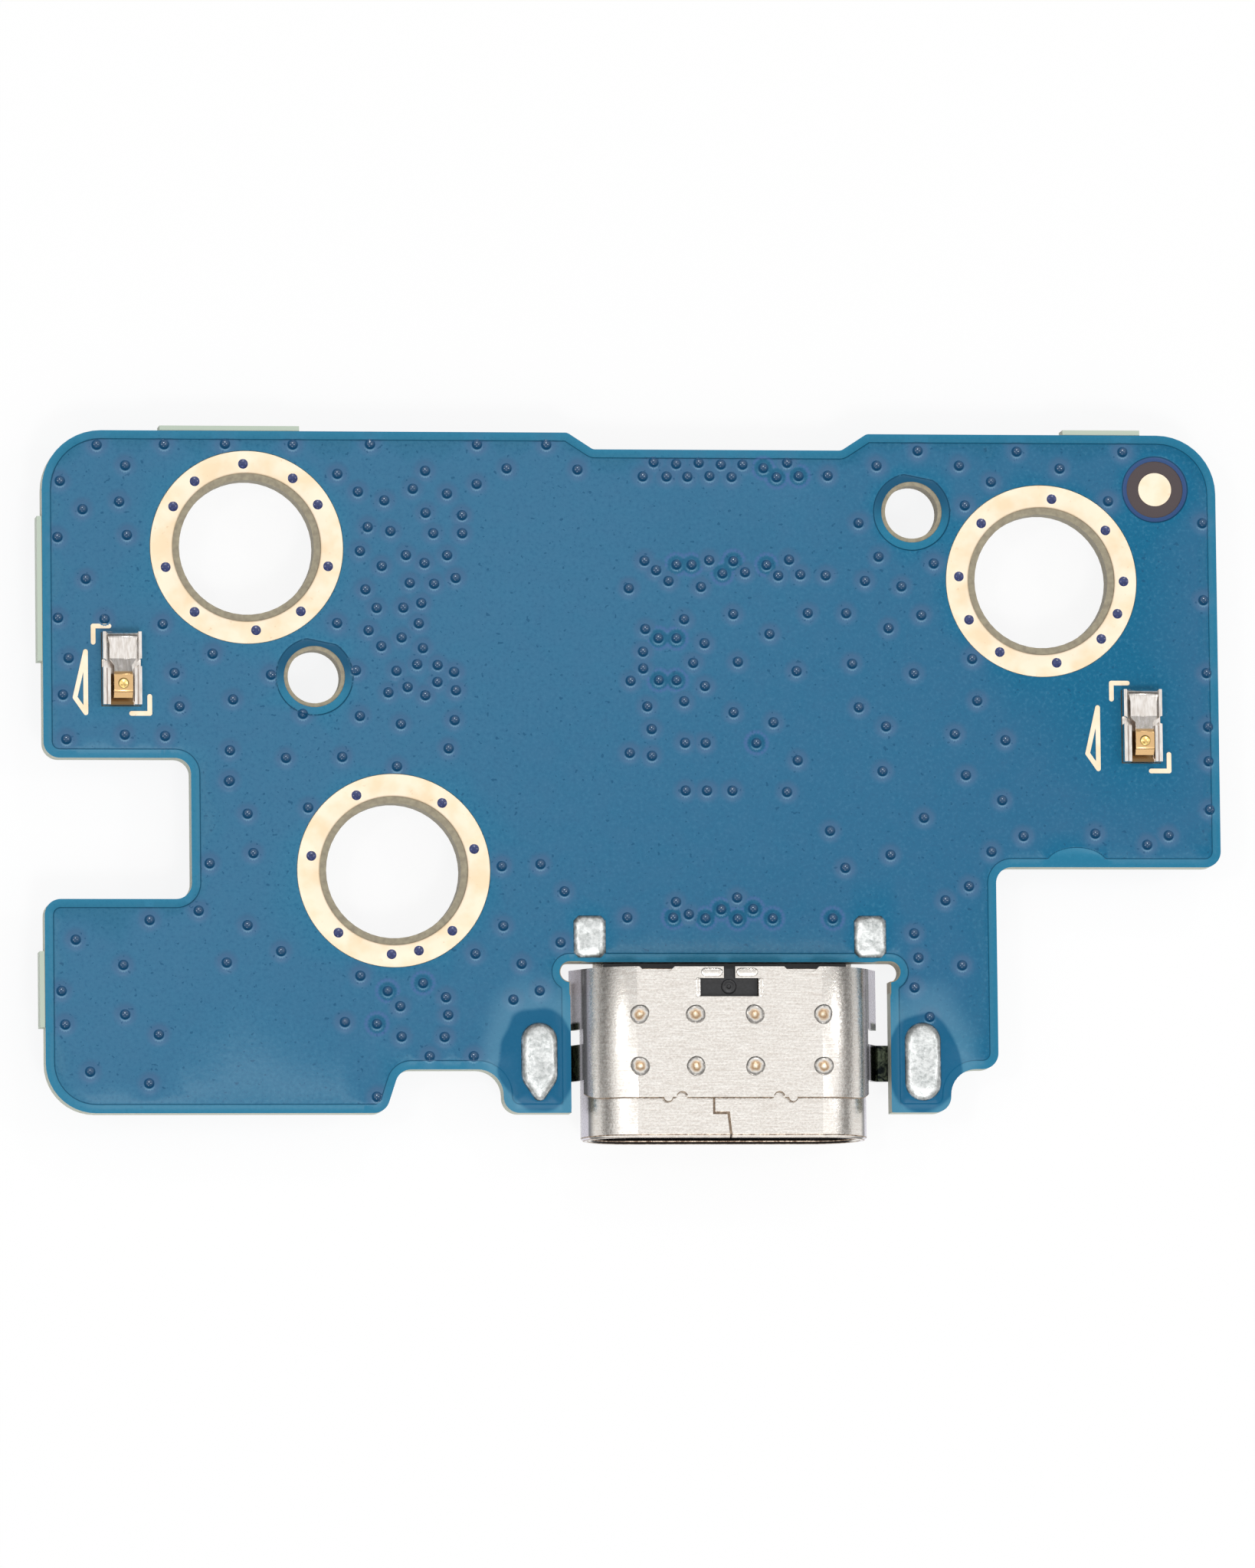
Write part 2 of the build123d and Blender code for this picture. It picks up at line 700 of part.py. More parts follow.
# Spring contacts, each folded from one sheet, on their pads
for side, (x, y) in spring_places.items():
    pad_top = face_z + pad_thickness
    with BuildPart() as contact_pad:
        with BuildSketch(Plane.XY.offset(face_z)):
            with Locations((x, y)):
                Rectangle(spring_width, spring_length)
        extrude(amount=pad_thickness)
    finish(contact_pad.part, f"{side}_contact_pad")

    rear_end = y + spring_length / 2
    front_end = y - spring_length / 2
    with BuildPart() as spring:
        # Leaf: a strip that turns up and over at the rear, rises to the contact point and ends turned down
        leaf_z = pad_top + leaf_height - leaf_sheet / 2
        with BuildSketch(Plane.YZ.offset(x)):
            with BuildLine(mode=Mode.PRIVATE) as leaf_line:
                FilletPolyline(
                    (y + leaf_body_front, pad_top + leaf_sheet / 2),
                    (rear_end - leaf_sheet / 2, pad_top + leaf_sheet / 2),
                    (rear_end - leaf_sheet / 2, leaf_z),
                    (y + leaf_body_front, leaf_z),
                    (y + leaf_end_rear, leaf_z + leaf_rise),
                    (y + leaf_end_front, leaf_z + leaf_rise),
                    (y + leaf_tip_front, leaf_z + leaf_rise - leaf_tip_drop),
                    radius=[leaf_bend_radius, leaf_bend_radius, leaf_sheet, leaf_sheet, leaf_sheet],
                )
            trace(leaf_line.line, line_width=leaf_sheet)
        extrude(amount=spring_width / 2, both=True)
        with BuildSketch(Plane.XY.offset(pad_top)):
            with BuildLine():
                Polyline(
                    (x - leaf_back_width / 2, rear_end),
                    (x - leaf_back_width / 2, y + leaf_back_front),
                    (x - leaf_body_width / 2, y + leaf_body_rear),
                    (x - leaf_body_width / 2, y + leaf_body_front),
                    (x - leaf_neck_width / 2, y + leaf_neck_y),
                    (x - leaf_end_width / 2, y + leaf_end_rear),
                    (x - leaf_end_width / 2, front_end),
                    (x, front_end),
                    close=False,
                )
                mirror(about=Plane.YZ.offset(x))
                Line((x - leaf_back_width / 2, rear_end), (x + leaf_back_width / 2, rear_end))
            make_face()
        extrude(amount=spring_wall_height + leaf_height, mode=Mode.INTERSECT)
        # Tray: a floor and two side walls, doubled in the front half
        with BuildSketch(Plane.XY.offset(pad_top)):
            with Locations((x, y)):
                Rectangle(spring_width, spring_length)
        extrude(amount=spring_floor)
        with BuildSketch(Plane.XY.offset(pad_top + spring_floor)):
            for turn in (-1, 1):
                wall_x = x + turn * (spring_width - spring_wall) / 2
                hem_x = wall_x - turn * (spring_wall / 2 + spring_hem / 2)
                with Locations((wall_x, y)):
                    Rectangle(spring_wall, spring_length)
                with Locations((hem_x, front_end)):
                    Rectangle(spring_hem, spring_length / 2, align=(Align.CENTER, Align.MIN))
            with Locations((x, y + spring_notch_y)):
                with GridLocations(spring_width, 1, 2, 1):
                    Circle(spring_notch_radius, mode=Mode.SUBTRACT)
        extrude(amount=spring_wall_height - spring_floor)
        # Front lip
        with BuildSketch(Plane.XY.offset(pad_top + spring_floor)):
            with Locations((x, front_end)):
                Rectangle(spring_width, spring_wall, align=(Align.CENTER, Align.MIN))
        extrude(amount=lip_height)
    finish(spring.part, f"{side}_spring_contact")

# Board-to-board socket behind the rear notch, hanging under the board
socket_x = rear_notch_x
socket_y = notch_floor_y - socket_from_notch - socket_tail - socket_depth / 2
socket_bottom = hidden_z - socket_height
trough_top = hidden_z - socket_floor
trough_depth = socket_depth - 2 * socket_side_wall
socket_places = [
    socket_x + (i - (socket_contacts_a_row - 1) / 2) * socket_pitch for i in range(socket_contacts_a_row)
]
with BuildPart() as socket_contacts:
    for turn in (-1, 1):
        wall_face = socket_y + turn * trough_depth / 2
        outer_end = socket_y + turn * (socket_depth / 2 + socket_tail)
        with BuildSketch(Plane.XY.offset(hidden_z)):
            for place in socket_places:
                with Locations((place, (wall_face + outer_end) / 2)):
                    Rectangle(socket_contact_width, abs(outer_end - wall_face) + 2 * socket_contact_sheet)
        extrude(amount=-socket_contact_sheet)
        with BuildSketch(Plane.XY.offset(hidden_z)):
            for place in socket_places:
                with Locations((place, wall_face - turn * socket_contact_sheet / 2)):
                    Rectangle(socket_contact_width, socket_contact_sheet)
        extrude(amount=-(socket_height - socket_contact_drop))
finish(socket_contacts.part, "socket_contacts")

with BuildPart() as socket_housing:
    with BuildSketch(Plane.XY.offset(hidden_z)):
        with Locations((socket_x, socket_y)):
            Rectangle(socket_length, socket_depth)
    extrude(amount=-socket_height)
    with BuildSketch(Plane.XY.offset(socket_bottom)):
        with Locations((socket_x, socket_y)):
            Rectangle(socket_length - 2 * socket_end_wall, trough_depth)
            Rectangle(socket_island_length, socket_island_depth, mode=Mode.SUBTRACT)
    extrude(amount=trough_top - socket_bottom, mode=Mode.SUBTRACT)
    add(socket_contacts.part, mode=Mode.SUBTRACT)
finish(socket_housing.part, "socket_housing")

# Metal fitting over each end of the socket
for side, turn in sides.items():
    end_x = socket_x + turn * socket_length / 2
    with BuildPart() as fitting:
        with BuildSketch(Plane.XZ.offset(-(socket_y + fitting_width / 2))):
            with BuildLine(mode=Mode.PRIVATE) as fitting_line:
                Polyline(
                    (end_x - turn * socket_end_wall, socket_bottom - fitting_sheet / 2),
                    (end_x + turn * fitting_sheet / 2, socket_bottom - fitting_sheet / 2),
                    (end_x + turn * fitting_sheet / 2, hidden_z - fitting_sheet / 2),
                    (end_x + turn * fitting_foot, hidden_z - fitting_sheet / 2),
                )
            trace(fitting_line.line, line_width=fitting_sheet)
        extrude(amount=fitting_width)
    finish(fitting.part, f"{side}_socket_fitting")

# Moulded chips under the board
chips = {name: (port_x + x, socket_y - y, *size) for name, (x, y, *size) in chips_before_socket.items()}
chips |= {name: (port_x + x, cutout_rear + y, *size) for name, (x, y, *size) in chips_behind_cutout.items()}
for name, (x, y, length, depth, height) in chips.items():
    with BuildPart() as chip:
        with BuildSketch(Plane.XY.offset(hidden_z)):
            with Locations((x, y)):
                Rectangle(length, depth)
        extrude(amount=-height)
        chamfer(chip.faces().sort_by(Axis.Z)[0].edges(), chip_edge)
    finish(chip.part, name)

# Capacitors, bead and resistors: a body between two end caps that stand a little proud
for name, (x, y, length, depth, height) in capped_parts_behind_cutout.items():
    place = (port_x + x, cutout_rear + y)
    with BuildPart() as capped_part:
        with BuildSketch(Plane.XY.offset(hidden_z)):
            with Locations(place):
                with GridLocations(length * (1 - cap_share), 1, 2, 1):
                    Rectangle(length * cap_share, depth)
        extrude(amount=-height)
        with BuildSketch(Plane.XY.offset(hidden_z - cap_stand)):
            with Locations(place):
                Rectangle(length * (1 - cap_share), depth - 2 * cap_stand)
        extrude(amount=-(height - 2 * cap_stand))
    finish(capped_part.part, name)
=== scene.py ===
"""Looks of a charging port board: a small blue circuit board that lies with its solder side up.

The frame's +Z is the solder side and the port's mouth points to -Y. Lengths below are in millimetres.
"""

import json
import math

import bmesh
import bpy
import numpy as np
from mathutils import Matrix, Vector
from mathutils.geometry import convex_hull_2d, delaunay_2d_cdt


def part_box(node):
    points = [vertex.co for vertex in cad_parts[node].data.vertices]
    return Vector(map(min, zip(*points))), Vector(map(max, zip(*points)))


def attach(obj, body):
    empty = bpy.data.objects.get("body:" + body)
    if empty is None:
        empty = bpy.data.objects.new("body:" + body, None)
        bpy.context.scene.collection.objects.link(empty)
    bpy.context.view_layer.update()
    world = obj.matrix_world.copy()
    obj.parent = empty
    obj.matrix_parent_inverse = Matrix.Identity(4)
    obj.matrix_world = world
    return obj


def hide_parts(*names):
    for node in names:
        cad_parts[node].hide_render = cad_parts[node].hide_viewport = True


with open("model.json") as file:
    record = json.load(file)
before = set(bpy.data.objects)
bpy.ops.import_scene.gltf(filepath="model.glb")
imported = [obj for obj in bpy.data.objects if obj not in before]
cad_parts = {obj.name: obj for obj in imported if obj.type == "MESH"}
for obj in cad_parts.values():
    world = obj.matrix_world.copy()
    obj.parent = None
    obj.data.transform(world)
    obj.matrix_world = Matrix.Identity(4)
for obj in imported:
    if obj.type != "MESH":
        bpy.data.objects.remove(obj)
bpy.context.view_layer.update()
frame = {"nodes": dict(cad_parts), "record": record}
nodes = frame["nodes"]

MM = 0.001

# Points of a solid's mesh that lie nearer than this are one
JOIN_REACH = 0.0005

# Camera: where it looks, from which side, and how much it takes in
VIEW_TARGET = (-0.148, -0.041, 2.40)
VIEW_DIRECTION = (-0.134, -0.10, 1.0)
VIEW_DISTANCE = 450.0
VIEW_ROLL = -0.64
VIEW_HEIGHT = 48.65
SENSOR = 36.0

# Floor and light
FLOOR_SIZE = 1200.0
FLOOR_WHITE = 0.92
FLOOR_GLOW = 0.87
WORLD_STRENGTH = 1.05
WORLD_SLANT = 0.75
WORLD_LEVELS = ((0.0, 1.0), (0.15, 1.0), (0.3, 0.2), (0.5, 0.16), (0.7, 0.85), (0.8, 1.0), (1.0, 1.0))
LAMPS = (
    ("front", (30, -190, 430), 70, 0.42),
    ("left", (-190, 20, 430), 44, 0.18),
    ("right", (300, 60, 400), 44, 0.16),
    ("rear", (90, 300, 400), 44, 0.12),
)

# Solder mask film: its drop where no copper lies under it, and the places of that step
FILM_DROP = 0.034
STEP_FROM_EDGE = 0.21
STEP_WIDTH = 0.06
STEP_SHARES = (0.0, 0.25, 0.5, 0.75, 1.0, 1.5)
CREASE_SHARES = (0.1, 0.5, 0.9)
CREASE_GAP = 0.4
LOCATOR_WIDTHS = (1.85, 2.0)
LOCATOR_STEP_RADIUS = 1.17
LOCATOR_CHORD_HEIGHT = 1.1
LOCATOR_CHORD_SLOPE = 0.2
FIDUCIAL_STEP_RADIUS = 1.0
HALF_MOON_PLACE = (13.93, -2.62)
HALF_MOON_RADII = (0.98, 0.6)

# The film's edge reaches a little past the board, but not at the two relief circles beside the port
EDGE_MARGIN = 0.04
EDGE_GROWTH = 0.03
EDGE_POINTS = 0.11
RELIEF_PLACES = ((-2.01, -5.99), (8.01, -5.99))
RELIEF_REACH = 0.55
RELIEF_END = 0.7

# Vias: bowls in the film with a raised rim and a wide low halo, some with a ring round them
VIA_RADIUS = 0.16
VIA_DEPTH = 0.06
VIA_RIM = 0.006
HALO_RADIUS = 0.3
HALO_RISE = 0.02
RING_PLACE = 0.335
RING_WIDTH = 0.035
RING_RISE = 0.02
VIA_POINT_RADII = (0.04, 0.08, 0.115, 0.14, 0.155, 0.17, 0.19, 0.225, 0.265, 0.3, 0.335, 0.375, 0.44)
VIA_SPOKES = 18
VIA_REACH = 0.46

# Flux stains on the film, round the front solder joints
STAIN_PLACES = ((-3.05, -8.6), (9.0, -8.8))
STAIN_SQUASH = 0.72

# Solder domes: their rise over the film, the width of the rounded edge, and where their points lie
SIDES = ("left", "right")
DOME_RISES = {"front": 0.17, "rear": 0.13}
DOME_EDGE = 0.3
DOME_SKIRT = 0.015
DOME_SINK = 0.004
DOME_RIM = 0.09
DOME_INSETS = (0.02, 0.04, 0.07, 0.11, 0.16, 0.22, 0.3, 0.4)
DOME_SPACING = 0.09
DOME_GRID_IN = 0.42

# Port: spot welds from the middle of the cover and in front of its rear edge, mould mark, lugs, slot and seam
WELD_ACROSS = (-2.82, -1.07, 0.78, 2.92)
WELD_BEHIND = (1.48, 3.09)
WELD_RADII = (0.0, 0.05, 0.1, 0.16, 0.22, 0.27, 0.3)
WELD_HEIGHTS = (0.003, 0.004, 0.01, 0.016, 0.016, 0.024, 0.001)
MOULD_MARK_IN_FRONT = 0.61
MOULD_MARK_RADII = (0.0, 0.05, 0.07, 0.12, 0.17, 0.2, 0.22, 0.24)
MOULD_MARK_HEIGHTS = (0.002, 0.002, 0.022, 0.022, 0.006, 0.006, 0.018, 0.001)
LUG_INNER = 0.34
LUG_LENGTH = 0.42
LUG_IN_FRONT = 0.175
LUG_RADIUS = 0.13
LUG_RISE = 0.03
SLOT_END_ACROSS = 0.985
SLOT_END_IN_FRONT = (0.42, 0.87)
SLOT_END_RADIUS = 0.075
SEAM_SIDES = (-0.62, 0.12)
SEAM_MARGIN = 0.1
SEAM_DROP = 0.025
SEAM_DEPTH = 0.15
# A brown line of painted shadow along the cover's front edge: its width, its rise, and how far back its edges
# are taken
EDGE_SHADOW_WIDTH = 0.03
EDGE_SHADOW_RISE = 0.004
EDGE_SHADOW_REACH = 0.7
MARK_SINK = 0.01

# Vias of the film, read from enlarged pieces of the photo. Each group has the corner of its piece,
# the photo's pixels to one of its own, and then the places in the piece: plain vias and vias in a ring.
PHOTO_CENTRE = (821.3, 1022.0)
PHOTO_SCALE = 41.66
VIA_GROUPS = [
    ((40, 540), 0.5102, [
        (175, 90), (346, 88), (501, 86), (673, 87), (870, 85), (1143, 84), (1320, 84), (247, 142), (81, 182),
        (138, 254), (231, 234), (74, 325), (250, 319), (786, 161), (838, 206), (905, 228), (1010, 152),
        (978, 198), (1065, 210), (1141, 185), (1218, 145), (1399, 147), (1010, 259), (1103, 265), (1029, 311),
        (1103, 311), (803, 296), (862, 296), (920, 306), (842, 357), (897, 395), (959, 367), (1006, 387),
        (1064, 367), (968, 438), (1030, 440), (1085, 425), (855, 455), (883, 502), (951, 501), (997, 489),
        (990, 541), (862, 559), (894, 599), (946, 577), (1000, 604), (145, 431), (74, 530), (192, 533),
        (339, 545), (782, 541), (100, 632), (465, 620), (368, 669), (613, 673), (829, 661), (932, 662),
        (985, 645), (1037, 647), (1079, 664), (1036, 690), (1083, 711), (960, 703), (911, 717), (1005, 724),
        (1079, 787), (85, 725), (380, 754), (516, 736), (693, 772), (838, 777), (942, 797), (93, 838),
        (241, 826), (343, 829), (507, 865), (649, 884), (792, 881), (1063, 859), (931, 905), (504, 943),
    ], []),
    ((780, 540), 0.5357, [
        (137, 121), (192, 125), (247, 122), (301, 126), (354, 126), (463, 121), (110, 156), (168, 156),
        (219, 156), (273, 154), (327, 156), (562, 152), (682, 127), (783, 90), (884, 126), (1026, 91),
        (962, 165), (1131, 132), (1286, 91), (897, 223), (636, 267), (1249, 211), (684, 349), (819, 365),
        (1480, 264), (112, 361), (140, 384), (270, 359), (357, 388), (465, 357), (438, 396), (492, 393),
        (554, 395), (170, 410), (249, 424), (73, 428), (650, 408), (739, 421), (327, 490), (509, 487),
        (603, 487), (787, 491), (706, 523), (415, 538), (207, 503), (112, 527), (256, 561), (106, 582),
        (228, 609), (337, 606), (480, 628), (616, 610), (767, 633), (910, 597), (1480, 452), (1485, 630),
        (106, 623), (75, 653), (256, 665), (205, 702), (115, 715), (325, 729), (422, 753), (631, 716),
        (921, 699), (697, 762), (865, 780), (989, 795), (125, 770), (206, 803), (256, 803), (480, 845),
        (687, 871), (891, 880), (71, 828), (125, 835), (206, 919), (258, 919), (320, 919), (453, 922),
        (979, 941), (787, 984), (1487, 761), (1487, 845), (1488, 963), (557, 1016), (1030, 1028),
        (1206, 1022), (1386, 1026), (1333, 1049), (951, 1066), (704, 1074), (593, 1106),
    ], [
        (405, 134), (437, 156), (491, 153), (190, 370), (227, 370), (302, 391), (329, 361), (410, 370),
        (144, 549), (188, 549), (144, 651), (187, 651), (380, 803),
    ]),
    ((40, 1000), 0.4464, [
        (578, 46), (629, 142), (805, 124), (645, 256), (518, 286), (760, 366), (485, 423), (343, 450),
        (626, 465), (129, 507), (723, 540), (565, 573), (266, 580), (952, 611), (87, 655), (1200, 673),
        (1067, 699), (270, 723), (97, 752), (906, 745), (1206, 724), (1195, 788), (1070, 787), (367, 781),
        (1151, 844), (1279, 844), (168, 888), (338, 922), (997, 961), (1366, 293), (1479, 287), (1548, 366),
        (1369, 466), (1535, 514), (1287, 547), (1421, 576), (1473, 654), (1396, 680),
    ], [(1031, 655), (1134, 632), (999, 750)]),
    ((600, 1150), 0.472, [
        (402, 103), (450, 100), (585, 57), (754, 45), (620, 91), (1331, 52), (1397, 13), (1243, 143),
        (1254, 210), (1375, 231), (1242, 292), (1283, 373),
    ], [(577, 100), (666, 102), (710, 77), (755, 103), (798, 76), (852, 102), (1018, 102)]),
]

# Dimple of a spring contact, from the front of its pad
DIMPLE_IN = 0.62
DIMPLE_RADII = (0.0, 0.05, 0.09, 0.13, 0.17)
DIMPLE_HEIGHTS = (0.004, 0.006, 0.02, 0.028, 0.001)

# Position marks beside the spring contacts: corner marks by their corner and two ends, and triangles
MARK_RADIUS = 0.073
MARK_RISE = 0.022
MARKS = {
    "left": (
        ((123, 821), (143.5, 821), (123, 842)),
        ((195.5, 934), (172, 934), (195.5, 912)),
        ((112.9, 854), (112.9, 933.4), (99, 913.5)),
    ),
    "right": (
        ((1450, 891), (1471, 891), (1450, 912)),
        ((1524.5, 1005.6), (1501, 1005.6), (1524.5, 984)),
        ((1431.5, 923), (1431.5, 1003), (1417.6, 983)),
    ),
}

# Gilded rings round the screw holes: the vias in each ring by their direction in degrees, with their ink
RING_OUTER = 3.0
RING_INNER = 2.315
RING_VIA_CIRCLE = 2.6
RING_VIA_RADIUS = 0.155
PLUG_RADII = (0.05, 0.09, 0.12, 0.14, 0.155, 0.155)
PLUG_DROPS = (0.03, 0.024, 0.014, 0.004, 0.0, 0.04)
PLUG_MIDDLE_DROP = 0.032
PLUG_POINTS = 24
RING_VIAS = {
    "rear_left": (92, 56, 31, -13, -50, -84, -129, -166, 151, 128),
    "front": (116, 54, 15, -46, -73, -92, -132, 170),
    "rear_right": (82, 38, 0, -23, -44, -80, -121, -152, 177, 136),
}


def to_scene(*point):
    """A point in millimetres as a vector in the scene's metres."""
    return Vector(point) * MM


def box_mm(name):
    """A CAD node's lowest and highest corners in millimetres."""
    low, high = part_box(name)
    return Vector(low) / MM, Vector(high) / MM


def middle_mm(name):
    low, high = box_mm(name)
    return (low + high) / 2


# Camera, floor and lights
def add_camera():
    away = Vector(VIEW_DIRECTION).normalized()
    up = (Vector((0, 1, 0)) - away * away.y).normalized()
    right = up.cross(away)
    turn = Matrix((right, up, away)).transposed() @ Matrix.Rotation(math.radians(VIEW_ROLL), 3, "Z")
    data = bpy.data.cameras.new("camera")
    data.sensor_width = SENSOR
    data.lens = SENSOR * VIEW_DISTANCE / VIEW_HEIGHT
    data.clip_start = 0.01
    data.clip_end = 10.0
    camera = bpy.data.objects.new("camera", data)
    bpy.context.collection.objects.link(camera)
    place = to_scene(*VIEW_TARGET) + away * VIEW_DISTANCE * MM
    camera.matrix_world = Matrix.Translation(place) @ turn.to_4x4()
    bpy.context.scene.camera = camera


def add_soft_light(name, place, size, power):
    """A square soft box at a place in millimetres, turned to the board."""
    data = bpy.data.lights.new(name, "AREA")
    data.shape = "SQUARE"
    data.size = size * MM
    data.energy = power
    light = bpy.data.objects.new(name, data)
    bpy.context.collection.objects.link(light)
    light.location = to_scene(*place)
    light.rotation_euler = (-light.location).to_track_quat("-Z", "Y").to_euler()


def from_hex(code):
    """A colour as it shows on a screen, as the linear numbers that a shader takes."""
    shown = [int(code[i : i + 2], 16) / 255 for i in (0, 2, 4)]
    return tuple(c / 12.92 if c <= 0.04045 else ((c + 0.055) / 1.055) ** 2.4 for c in shown)


class Graph:
    """A material's node tree with short calls for the nodes that it needs."""

    def __init__(self, name):
        self.material = bpy.data.materials.new(name)
        self.material.use_nodes = True
        self.tree = self.material.node_tree
        self.tree.nodes.clear()
        self.out = self.tree.nodes.new("ShaderNodeOutputMaterial")

    def node(self, kind, settings=None, **inputs):
        """Adds a node. An input's name has underscores for spaces, and its value is a number or a socket."""
        made = self.tree.nodes.new("ShaderNode" + kind)
        for key, value in (settings or {}).items():
            setattr(made, key, value)
        for key, value in inputs.items():
            self.feed(made, key.replace("_", " "), value)
        return made

    def feed(self, made, key, value):
        socket = made.inputs[int(key[1:])] if key[0] == "i" and key[1:].isdigit() else made.inputs[key]
        if isinstance(value, bpy.types.NodeSocket):
            self.tree.links.new(value, socket)
        elif isinstance(value, tuple) and len(value) == 3 and len(socket.default_value) == 4:
            socket.default_value = (*value, 1.0)
        else:
            socket.default_value = value

    def place(self):
        """The point on the object in millimetres."""
        point = self.node("TexCoord").outputs["Object"]
        return self.node("VectorMath", {"operation": "SCALE"}, Vector=point, Scale=1 / MM).outputs[0]

    def split(self, vector):
        return [self.node("SeparateXYZ", Vector=vector).outputs[i] for i in range(3)]

    def distance(self, vector, point):
        return self.node("VectorMath", {"operation": "DISTANCE"}, i0=vector, i1=point).outputs["Value"]

    def attribute(self, name):
        return self.node("Attribute", {"attribute_name": name}).outputs["Fac"]

    def band(self, value, low, high, top=1.0):
        """Zero at low and top at high, with an even rise between them. Low may be the greater."""
        made = self.node("MapRange", {"interpolation_type": "SMOOTHSTEP"}, i0=value, i1=low, i2=high, i4=top)
        return made.outputs[0]

    def noise(self, vector, scale, detail=3.0, roughness=0.5, distortion=0.0):
        made = self.node("TexNoise", Vector=vector, Scale=scale, Detail=detail, Roughness=roughness)
        made.inputs["Distortion"].default_value = distortion
        return made.outputs[0]

    def stretch(self, vector, factors):
        return self.node("VectorMath", {"operation": "MULTIPLY"}, i0=vector, i1=factors).outputs[0]

    def ramp(self, value, *stops):
        """A colour or grey from a value, by stops of position and colour, grey or colour code."""
        made = self.node("ValToRGB", Fac=value)
        elements = made.color_ramp.elements
        while len(elements) < len(stops):
            elements.new(0.5)
        for element, (position, colour) in zip(elements, stops):
            element.position = position
            if isinstance(colour, str):
                colour = from_hex(colour)
            elif not isinstance(colour, tuple):
                colour = (colour, colour, colour)
            element.color = (*colour, 1.0)
        return made.outputs[0]

    def math(self, operation, first, second=0.0, clamp=False):
        made = self.node("Math", {"operation": operation, "use_clamp": clamp}, i0=first, i1=second)
        return made.outputs[0]

    def times(self, first, second):
        return self.math("MULTIPLY", first, second)

    def plus(self, first, second):
        return self.math("ADD", first, second)

    def minus(self, first, second):
        return self.math("SUBTRACT", first, second)

    def apart(self, first, second):
        """How far two values lie apart."""
        return self.math("ABSOLUTE", self.minus(first, second))

    def below(self, value, limit):
        return self.math("LESS_THAN", value, limit)

    def above(self, value, limit):
        return self.math("GREATER_THAN", value, limit)

    def tint(self, colour, code, share, amount=1.0):
        """A colour with some of another one, given by its code. The share is scaled by the amount."""
        if amount != 1.0:
            share = self.times(share, amount)
        return self.mix(share, colour, from_hex(code))

    def mix(self, share, first, second):
        made = self.node("Mix", {"data_type": "RGBA"})
        self.feed(made, "i0", share)
        self.feed(made, "i6", first)
        self.feed(made, "i7", second)
        return made.outputs[2]

    def bump(self, height, strength, distance, normal=None):
        """A relief of so many millimetres."""
        made = self.node("Bump", Height=height, Strength=strength, Distance=distance * MM)
        if normal is not None:
            self.feed(made, "Normal", normal)
        return made.outputs[0]

    def finish(self, **inputs):
        shader = self.node("BsdfPrincipled", **inputs)
        self.tree.links.new(shader.outputs[0], self.out.inputs[0])
        return self.material


def add_floor():
    mesh = bpy.data.meshes.new("floor")
    half = FLOOR_SIZE / 2
    corners = [to_scene(x, y, 0) for x, y in ((-half, -half), (half, -half), (half, half), (-half, half))]
    mesh.from_pydata(corners, [], [(0, 1, 2, 3)])
    floor = bpy.data.objects.new("floor", mesh)
    bpy.context.collection.objects.link(floor)
    graph = Graph("floor_white")
    diffuse = graph.node("BsdfDiffuse", Color=(FLOOR_WHITE, FLOOR_WHITE, FLOOR_WHITE))
    glow = graph.node("Emission", Color=(1.0, 1.0, 1.0), Strength=1.0)
    path = graph.node("LightPath")
    seen = graph.math("MAXIMUM", path.outputs["Is Camera Ray"], path.outputs["Is Glossy Ray"])
    seen = graph.math("MAXIMUM", seen, path.outputs["Is Transmission Ray"])
    share = graph.times(seen, FLOOR_GLOW)
    both = graph.node("MixShader", i0=share, i1=diffuse.outputs[0], i2=glow.outputs[0])
    graph.tree.links.new(both.outputs[0], graph.out.inputs[0])
    mesh.materials.append(graph.material)


def add_world():
    """A studio: a soft box overhead, a darker band round it, pale walls, and more light from the front."""
    world = bpy.data.worlds.new("studio")
    world.use_nodes = True
    tree = world.node_tree
    background = tree.nodes["Background"]
    direction = tree.nodes.new("ShaderNodeTexCoord")
    parts = tree.nodes.new("ShaderNodeSeparateXYZ")
    ramp = tree.nodes.new("ShaderNodeValToRGB")
    tree.links.new(direction.outputs["Generated"], parts.inputs[0])
    tree.links.new(parts.outputs[2], ramp.inputs[0])
    tree.links.new(ramp.outputs[0], background.inputs["Color"])
    elements = ramp.color_ramp.elements
    while len(elements) < len(WORLD_LEVELS):
        elements.new(0.5)
    for element, (height, level) in zip(elements, WORLD_LEVELS):
        element.position = height
        element.color = (level, level, level, 1.0)
    slant = tree.nodes.new("ShaderNodeMath")
    slant.operation = "MULTIPLY_ADD"
    tree.links.new(parts.outputs[1], slant.inputs[0])
    slant.inputs[1].default_value = -WORLD_SLANT
    slant.inputs[2].default_value = WORLD_STRENGTH
    tree.links.new(slant.outputs[0], background.inputs["Strength"])
    bpy.context.scene.world = world


# Materials. The film's tints are laid over each other in this order, each one by its attribute.
MASK_BLUE = "1B668C"
GOLD_CREAM = "FBEBD2"
GOLD_SHADE = "F4DDBA"
FILM_TINTS = {
    "bare": ("2A80A0", 0.6),
    "deep": ("0A4768", 0.85),
    "violet": ("34497A", 0.9),
    # edge: a dark line of painted shade along the film's step
    "edge": ("0B3854", 0.9),
    "ring": ("4A6A9F", 0.8),
}
PORT_MIDDLE = middle_mm("port_tube")
TUBE_LOW, TUBE_HIGH = box_mm("port_tube")
COVER_LOW, COVER_HIGH = box_mm("port_cover")
FILM_LOW, FILM_HIGH = box_mm("upper_solder_mask")


